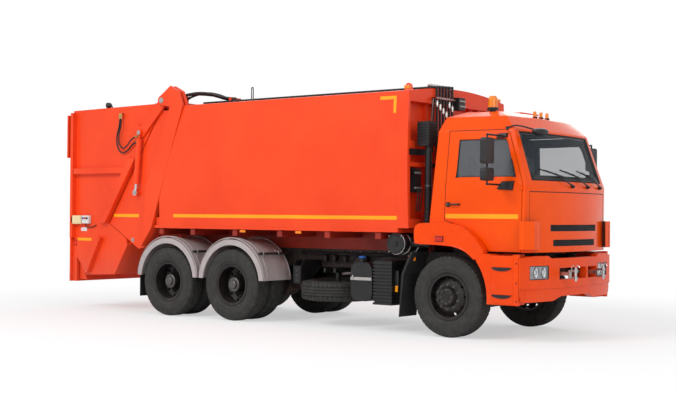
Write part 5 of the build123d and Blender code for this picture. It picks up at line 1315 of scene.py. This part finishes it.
tailParts = {
    "face": 1.165,
    "cream": ((-3.575, -3.330), (1.375, 1.515)), "grey": ((-3.318, -3.150), (1.385, 1.515)),
    "label": ((-3.395, -3.250), (1.262, 1.318)), "redTabs": ((-3.560, -3.500), (1.02, 1.08)),
    "knob": ((0, 0), (0.018, 0), (0.018, 0.006), (0.012, 0.010), (0.012, 0.020), (0, 0.022)),
    "feed": ((-3.24, 0.03, 1.385), (-3.24, 0.03, 1.33), (-3.10, 0.02, 1.33), (-3.02, 0.012, 1.36)),
    "workLamp": (-2.955, 0.990, 3.225), "lampArm": ((0.08, 0, 0), (0.09, 0, 0.05), (0.04, 0, 0.075)),
    "bowl": ((0, -0.055), (0.030, -0.050), (0.052, -0.012), (0.056, 0.016), (0.050, 0.022), (0, 0.022)),
    "glass": ((0, 0.018), (0.047, 0.018), (0.043, 0.027), (0, 0.031)),
    "marker": (-3.690, 1.118, 3.055), "cluster": (0.86, (-3.600, -3.556), 0.19, (0.438, 0.568)),
    "flanges": ((-3.722, 0.055, (2.461, 3.160)), (-3.622, 0.062, (0.440, 2.455))),
    "infill": ((-3.585, 0.47), (-3.32, 0.47), (-3.585, 0.96)),
    "covers": ((-1.600, -1.500), 1.192, (1.335, 1.500)),
    "plate": ((-3.574, -3.560), 0.260, (0.446, 0.556)),
    "sill": ((-3.582, -3.572), 0.270, (0.436, 0.446)),
}


def makeSwitchBoxes(side, f):
    bm = bmesh.new()
    face = tailParts["face"]
    if f < 0:
        (x0, x1), (z0, z1) = tailParts["cream"]
        addBox(bm, (x0, x1), (-face - 0.075, -face), (z0, z1), 0, 0.012)
        lid = (x0 + 0.015, x1 - 0.015), (-face - 0.080, -face - 0.070), (z0 + 0.015, z1 - 0.015)
        addBox(bm, *lid, 0, 0.004)
        (x0, x1), (z0, z1) = tailParts["grey"]
        addBox(bm, (x0, x1), (-face - 0.060, -face), (z0, z1), 1, 0.010)
        for k, look in enumerate((4, 3, 2)):
            knob = at(x0 + 0.035 + 0.049 * k, -face - 0.058, z0 + 0.085)
            addTurned(bm, tailParts["knob"], knob, (0, -1, 0), look, 24)
        xSpan, zSpan = tailParts["label"]
        addBox(bm, xSpan, (-face - 0.004, -face), zSpan, 1, 0.001)
        addTube(bm, [at(x, -face - out, z) for x, out, z in tailParts["feed"]], 0.008, 2, 8, 6)
    xSpan, heights = tailParts["redTabs"]
    for z in heights:
        addBox(bm, xSpan, around(f * face, 0.012), (z, z + 0.035), 3, 0.005)
    looks = [creamPlastic, whitePlastic, blackPlastic, redLens, lidPaint]
    makeObject(f"switch_boxes_{side}", bm, "tailgate", looks)


def makeTailLamps(side, f):
    # work lamp on the roof's edge, and the marker lamp at the rear corner
    bm = bmesh.new()
    x, y, z = tailParts["workLamp"]
    place = at(x, f * y, z)
    addTube(bm, beside(place, *tailParts["lampArm"]), 0.010, 0, 10)
    for look, part in enumerate(("bowl", "glass")):
        addTurned(bm, tailParts[part], place + upward * 0.075, (-1, 0.15 * f, -0.25), look, 28)
    x, y, z = tailParts["marker"]
    y *= f
    addBox(bm, (x - 0.075, x - 0.030), around(y, 0.020), around(z, 0.055), 0, 0.008)
    addBox(bm, (x - 0.086, x - 0.070), around(y, 0.016), around(z, 0.045), 2, 0.005)
    addRod(bm, at(x - 0.035, y, z), at(x + 0.03, f * 1.105, z), 0.012, 0, 12)
    looks = [blackPlastic, whitePlastic, redLens]
    makeObject(f"tail_roof_lamps_{side}", bm, "tailgate", looks)
    # rear lamp cluster on the underrun beam
    bm = bmesh.new()
    y, xSpan, half, zSpan = tailParts["cluster"]
    y *= f
    addBox(bm, xSpan, around(y, half), zSpan, 0, 0.010)
    for k, look in enumerate((2, 1, 1, 3)):
        low = y - 0.175 + 0.088 * k
        addBox(bm, (-3.612, -3.596), (low, low + 0.080), (0.450, 0.556), look, 0.006)
    looks = [blackPlastic, redLens, amberLens, whitePlastic]
    makeObject(f"tail_lamps_{side}", bm, "tailgate", looks)


def makeTailEdges():
    # flanges folded outwards at the rear corners, and the gap covers ahead of them
    bm = bmesh.new()
    for f in (-1, 1):
        for x, spread, zSpan in tailParts["flanges"]:
            addBox(bm, (x, x + 0.030), around(f * 1.150, spread), zSpan, 0, 0.004)
        infill = [(x + axleShift, z) for x, z in tailParts["infill"]]
        addPlate(bm, infill, (f * 1.085, f * 1.096), "xz", 0)
    makeObject("tail_corner_flanges", bm, "tailgate", [containerPaint])
    bm = bmesh.new()
    xSpan, y, zSpan = tailParts["covers"]
    for f in (-1, 1):
        addBox(bm, xSpan, around(f * y, 0.004), zSpan, 0)
    makeObject("floor_corner_covers", bm, "chassis", [containerPaint])
    bm = bmesh.new()
    for look, (part, edge) in enumerate((("plate", 0.003), ("sill", 0.002))):
        xSpan, half, zSpan = tailParts[part]
        addBox(bm, xSpan, around(0, half), zSpan, look, edge)
    for y in (-0.24, 0.24):
        addNut(bm, at(-3.574, y, 0.50), (-1, 0, 0), 0.010, 0.005, 1)
    makeObject("rear_plate", bm, "tailgate", [whitePlastic, blackPlastic])


makeTailHoses()
for tailSide, tailFacing in bothSides:
    makeSwitchBoxes(tailSide, tailFacing)
    makeTailLamps(tailSide, tailFacing)
makeTailEdges()
print("tailgate fittings")


# chassis side: tank, drum, brackets, mudguard edges

guards = {
    "x": (0.0, -1.32), "z": 0.565, "radius": 0.640, "turns": (8, 172, 32),
    "ribs": ((1.233, 0.006), (1.145, 0.004), (0.64, 0.004)),  # distance from the middle plane, lift
    "stays": ((0.0, 40), (-1.32, 40), (-1.32, 140)), "stayY": (0.45, 1.19), "clampY": (0.78, 1.12),
}


def guardPoint(x, y, turn, lift):
    r = guards["radius"] + lift
    return at(x + r * math.cos(turn), y, guards["z"] + r * math.sin(turn))


def makeGuardParts():
    for side, f in bothSides:
        bm = bmesh.new()
        turns = [math.radians(degrees) for degrees in spaced(*guards["turns"])]
        for x in guards["x"]:
            for y, lift in guards["ribs"]:
                addTube(bm, [guardPoint(x, f * y, t, lift) for t in turns], 0.007, 0, 8, 1)
        makeObject(f"guard_ribs_{side}", bm, "chassis", [guardGrey])
        bm = bmesh.new()
        for x, degrees in guards["stays"]:
            turn = math.radians(degrees)
            along = Vector((-math.sin(turn), 0, math.cos(turn)))
            up = Vector((math.cos(turn), 0, math.sin(turn)))
            inside, outside = (f * y for y in guards["stayY"])
            stay = guardPoint(x, inside, turn, 0.012), guardPoint(x, outside, turn, 0.022)
            addRod(bm, *stay, 0.018, 0, 16, 0.004)
            for y in guards["clampY"]:
                place = guardPoint(x, f * y, turn, 0.022)
                arch = [
                    along * 0.034 * math.cos(t) + up * 0.028 * math.sin(t)
                    for t in (0, 0.8, 1.57, 2.35, 3.14)
                ]
                arch = [along * 0.034 - up * 0.03] + arch + [-along * 0.034 - up * 0.03]
                addTube(bm, beside(place, *arch), 0.006, 1, 8, 4)
                for e in (-1, 1):
                    addNut(bm, place + along * 0.034 * e - up * 0.016, up, 0.016, 0.010, 1)
                lug = beside(place, *(along * 0.075 * e - up * 0.014 for e in (-1, 1)))
                addRod(bm, *lug, 0.009, 1, 8)
        makeObject(f"guard_brackets_{side}", bm, "chassis", [chassisPaint, bareSteel])


chassisParts = {
    "tankCap": (2.250, -1.040, 0.976),
    "cap": ((0, -0.002), (0.043, -0.002), (0.045, 0.012), (0.041, 0.026), (0, 0.030)),
    "buckle": (2.18, -1.163, (0.680, 0.730)), "strap": (2.315, -1.158, 0.702),
    "drum": (2.870, 1.184, 0.138), "drumBands": (1.125, 0.99, 0.80), "drumEnd": -1.15,
    "drumBoss": ((0, 0), (0.034, 0), (0.030, 0.012), (0, 0.014)),
    "bracket": ((0.905, 1.055), (-0.90, -0.43), (0.575, 0.905)), "bracketNuts": (0.62, 0.69, 0.76),
    "valves": (1.16, 1.34, 1.52, 1.90),
    "valve": ((0, -0.05), (0.034, -0.05), (0.040, -0.01), (0.040, 0.02), (0.026, 0.05), (0, 0.054)),
    "pipe": ((0.03, 0, -0.03), (0.08, -0.01, -0.05), (0.15, 0.02, 0.02), (0.24, 0.03, 0.05)),
    "lines": ((-0.452, 1.012, 0.008, 0.012), (-0.446, 0.985, -0.008, 0.008)),
    "tag": ((2.830, 2.872), (0.545, 0.625)), "marker": ((3.060, 3.165), (0.965, 1.035)),
    "sideMarkers": ((1.25, 0.20), (1.292, 1.328)),
    "rail": 0.430, "boltX": (-1.70, 4.55), "boltZ": (0.835, 1.035), "boltPitch": 0.165,
}


def makeTankFittings():
    bm = bmesh.new()
    cap = at(*chassisParts["tankCap"])
    addTurned(bm, chassisParts["cap"], cap, upward, 0, 32)
    for turn in turnsRound(8):
        place = cap + Vector((0.043 * math.cos(turn), 0.043 * math.sin(turn), 0))
        addRod(bm, place, place + upward * 0.024, 0.005, 0, 6)
    # strap buckle and gauge of the tank
    x, y, (low, high) = chassisParts["buckle"]
    addRod(bm, at(x, y, low), at(x, y, high), 0.012, 1, 12, 0.003)
    addNut(bm, at(x, y, high), upward, 0.022, 0.018, 1)
    x, y, z = chassisParts["strap"]
    grid = [
        [at(x + 0.186 * share, y, z + dz) for share in (-0.94, -0.5, 0.0, 0.5, 0.94)]
        for dz in (-0.020, 0.0, 0.020)
    ]
    addSheet(bm, grid, Vector((0, -0.003, 0)), 1)
    makeObject("tank_fittings", bm, "chassis", [lidPaint, bareSteel])


def makeFilterClamps():
    bm = bmesh.new()
    x, z, r = chassisParts["drum"]
    out = Vector((0, -1, 0))
    band = [(r, -0.012), (r + 0.006, -0.010), (r + 0.006, 0.010), (r, 0.012)]
    for y in chassisParts["drumBands"]:
        addTurned(bm, band, at(x, -y, z), out, 0, 48, True)
    end = at(x, chassisParts["drumEnd"], z)
    addTurned(bm, chassisParts["drumBoss"], end, out, 1, 24)
    addTurned(bm, [(r - 0.030, 0), (r - 0.022, 0.006), (r - 0.014, 0)], end, out, 1, 48)
    for turn in turnsRound(4, 0.5):
        clip = at(x + (r + 0.008) * math.cos(turn), -1.125, z + (r + 0.008) * math.sin(turn))
        addRod(bm, *beside(clip, (0, 0.03, 0), (0, -0.028, 0)), 0.008, 0, 8, 0.002)
    makeObject("filter_clamps", bm, "chassis", [bareSteel, blackPlastic])


def makeSideValves():
    bm = bmesh.new()
    (x0, x1), (y0, y1), (z0, z1) = chassisParts["bracket"]
    web = [(y1, z1), (y0 + 0.06, z1), (y0, z1 - 0.08), (y0, z0), (y0 + 0.14, z0), (y1, z0 + 0.22)]
    for x in (x0, x1 - 0.012):
        addPlate(bm, web, (x + axleShift, x + 0.012 + axleShift), "yz", 0, 0.002)
    addBox(bm, (x0, x1), (y0, y0 + 0.012), (z0, z1 - 0.08), 0, 0.003)
    for z in chassisParts["bracketNuts"]:
        addNut(bm, at((x0 + x1) / 2, y0, z), (0, -1, 0), 0.020, 0.012, 1)
    # air valves hung beside the rail, with their pipes
    for k, x in enumerate(chassisParts["valves"]):
        place = at(x, -0.47 - 0.02 * (k % 2), 0.93)
        pipe = beside(place, *chassisParts["pipe"])
        addTurned(bm, chassisParts["valve"], place, upward, 0, 24)
        addRod(bm, place + Vector((0, 0.05, 0)), place, 0.014, 0, 10)
        addTube(bm, pipe, 0.007, 0, 8)
        addNut(bm, pipe[0], (1, 0, -0.4), 0.014, 0.012, 1)
    for y, z, wave, radius in chassisParts["lines"]:
        line = [at(0.70 + 0.26 * k, y, z + wave * (k % 2)) for k in range(9)]
        addTube(bm, line, radius, 0, 8, 4)
    makeObject("side_valves", bm, "chassis", [blackPlastic, dullSteel])


def makeSideMarkers():
    bm = bmesh.new()
    (x0, x1), (z0, z1) = chassisParts["tag"]
    addBox(bm, (x0, x1), (-1.092, -1.084), (z0, z1), 0, 0.002)
    addBox(bm, (x0 - 0.01, x1 + 0.01), (-1.088, -1.076), (z1 - 0.01, z1 + 0.20), 2, 0.003)
    (x0, x1), (z0, z1) = chassisParts["marker"]
    middle = (x0 + x1) / 2
    rows, zSpan = chassisParts["sideMarkers"]
    for f in (-1, 1):
        addBox(bm, (x0, x1), around(f * 1.11, 0.018), (z0, z1), 1, 0.008)
        back = (x0 - 0.006, x1 + 0.006), around(f * 1.092, 0.012), (z0 - 0.008, z1 + 0.008)
        addBox(bm, *back, 2, 0.004)
        addRod(bm, at(middle, f * 1.09, z1 + 0.008), at(middle, f * 1.05, 1.10), 0.010, 2, 10)
        for x in rows:
            addBox(bm, around(x, 0.05), (f * 1.200 - 0.010, f * 1.200 + 0.012), zSpan, 1, 0.006)
    looks = [stripePaint, amberLens, blackPlastic]
    makeObject("side_markers", bm, "chassis", looks)


def makeRailBolts():
    bm = bmesh.new()
    (x0, x1), pitch = chassisParts["boltX"], chassisParts["boltPitch"]
    for f in (-1, 1):
        for k in range(int((x1 - x0) / pitch) + 1):
            for z in chassisParts["boltZ"]:
                place = at(x0 + pitch * k, f * chassisParts["rail"], z)
                addNut(bm, place, (0, f, 0), 0.018, 0.012, 0)
    makeObject("rail_bolts", bm, "chassis", [dullSteel])


makeGuardParts()
makeTankFittings()
makeFilterClamps()
makeSideValves()
makeSideMarkers()
makeRailBolts()
print("chassis fittings")


# studio

studio = {
    "floorColour": rgb(246, 246, 246), "floorSize": 80.0, "glowNear": 0.50, "glowRadii": (5.0, 9.0),
    "skyStrength": 0.66, "skyColour": (0.94, 0.97, 1.0, 1.0),
    "lamps": (
        ("keyLamp", (-2.0, -14.0, 11.0), 6.0, 1250.0), ("frontLamp", (13.0, -7.0, 7.0), 6.0, 420.0),
        ("backLamp", (-3.0, 12.0, 9.0), 8.0, 380.0),
    ),
}


def whiteFor(tree, rays):
    # 1 where any of these rays asks, for a white background that doesn't light the object
    path = tree.nodes.new("ShaderNodeLightPath")
    share = path.outputs[rays[0]]
    for ray in rays[1:]:
        share = mathNode(tree, "MAXIMUM", share, path.outputs[ray])
    return share


def makeStudio():
    bm = bmesh.new()
    half = studio["floorSize"] / 2
    addMesh(bm, [(-half, -half, 0), (half, -half, 0), (half, half, 0), (-half, half, 0)], [(0, 1, 2, 3)])
    material, tree, shader = newMaterial("studioFloor")
    shader.inputs["Base Color"].default_value = studio["floorColour"]
    shader.inputs["Roughness"].default_value = 0.9
    shader.inputs["Specular IOR Level"].default_value = 0.0
    glow = tree.nodes.new("ShaderNodeEmission")
    glow.inputs["Color"].default_value = (1.0, 1.0, 1.0, 1.0)
    place = tree.nodes.new("ShaderNodeTexCoord")
    reach = tree.nodes.new("ShaderNodeVectorMath")
    reach.operation = "LENGTH"
    tree.links.new(place.outputs["Object"], reach.inputs[0])
    away = rangeNode(tree, reach.outputs["Value"], *studio["glowRadii"], studio["glowNear"], 1.0)
    share = mathNode(tree, "MULTIPLY", whiteFor(tree, ["Is Camera Ray", "Is Transmission Ray"]), away)
    mixed = tree.nodes.new("ShaderNodeMixShader")
    tree.links.new(share, mixed.inputs["Fac"])
    tree.links.new(shader.outputs["BSDF"], mixed.inputs[1])
    tree.links.new(glow.outputs["Emission"], mixed.inputs[2])
    tree.links.new(mixed.outputs["Shader"], tree.nodes["Material Output"].inputs["Surface"])
    makeObject("studioFloor", bm, None, [material])

    world = bpy.data.worlds.new("studioSky")
    bpy.context.scene.world = world
    world.use_nodes = True
    tree = world.node_tree
    sky = tree.nodes["Background"]
    sky.inputs["Color"].default_value = studio["skyColour"]
    sky.inputs["Strength"].default_value = studio["skyStrength"]
    white = tree.nodes.new("ShaderNodeBackground")
    white.inputs["Color"].default_value = (1.0, 1.0, 1.0, 1.0)
    mixed = tree.nodes.new("ShaderNodeMixShader")
    share = whiteFor(tree, ["Is Camera Ray", "Is Glossy Ray", "Is Transmission Ray"])
    tree.links.new(share, mixed.inputs["Fac"])
    tree.links.new(sky.outputs["Background"], mixed.inputs[1])
    tree.links.new(white.outputs["Background"], mixed.inputs[2])
    tree.links.new(mixed.outputs["Shader"], tree.nodes["World Output"].inputs["Surface"])

    for name, place, size, energy in studio["lamps"]:
        lamp = bpy.data.lights.new(name, "AREA")
        lamp.size = size
        lamp.energy = energy
        thing = bpy.data.objects.new(name, lamp)
        bpy.context.scene.collection.objects.link(thing)
        thing.location = place
        aim = Vector((0.0, 0.0, 1.2)) - Vector(place)
        thing.rotation_euler = aim.to_track_quat("-Z", "Y").to_euler()


view = {"place": (12.04, -14.18, 1.56), "yaw": 37.87, "pitch": 0.58, "roll": 0.47, "lens": 64.3}


def makeCamera():
    camera = bpy.data.cameras.new("photoCamera")
    camera.lens = view["lens"]
    camera.sensor_width = 36.0
    camera.clip_end = 200.0
    thing = bpy.data.objects.new("photoCamera", camera)
    bpy.context.scene.collection.objects.link(thing)
    yaw, pitch, roll = (math.radians(view[k]) for k in ("yaw", "pitch", "roll"))
    turned = Matrix.Rotation(yaw, 4, "Z") @ Matrix.Rotation(math.pi / 2 + pitch, 4, "X")
    thing.matrix_world = Matrix.Translation(at(*view["place"])) @ turned @ Matrix.Rotation(roll, 4, "Z")
    bpy.context.scene.camera = thing


makeStudio()
makeCamera()
bpy.context.scene.view_settings.view_transform = "Standard"
print("studio and camera")
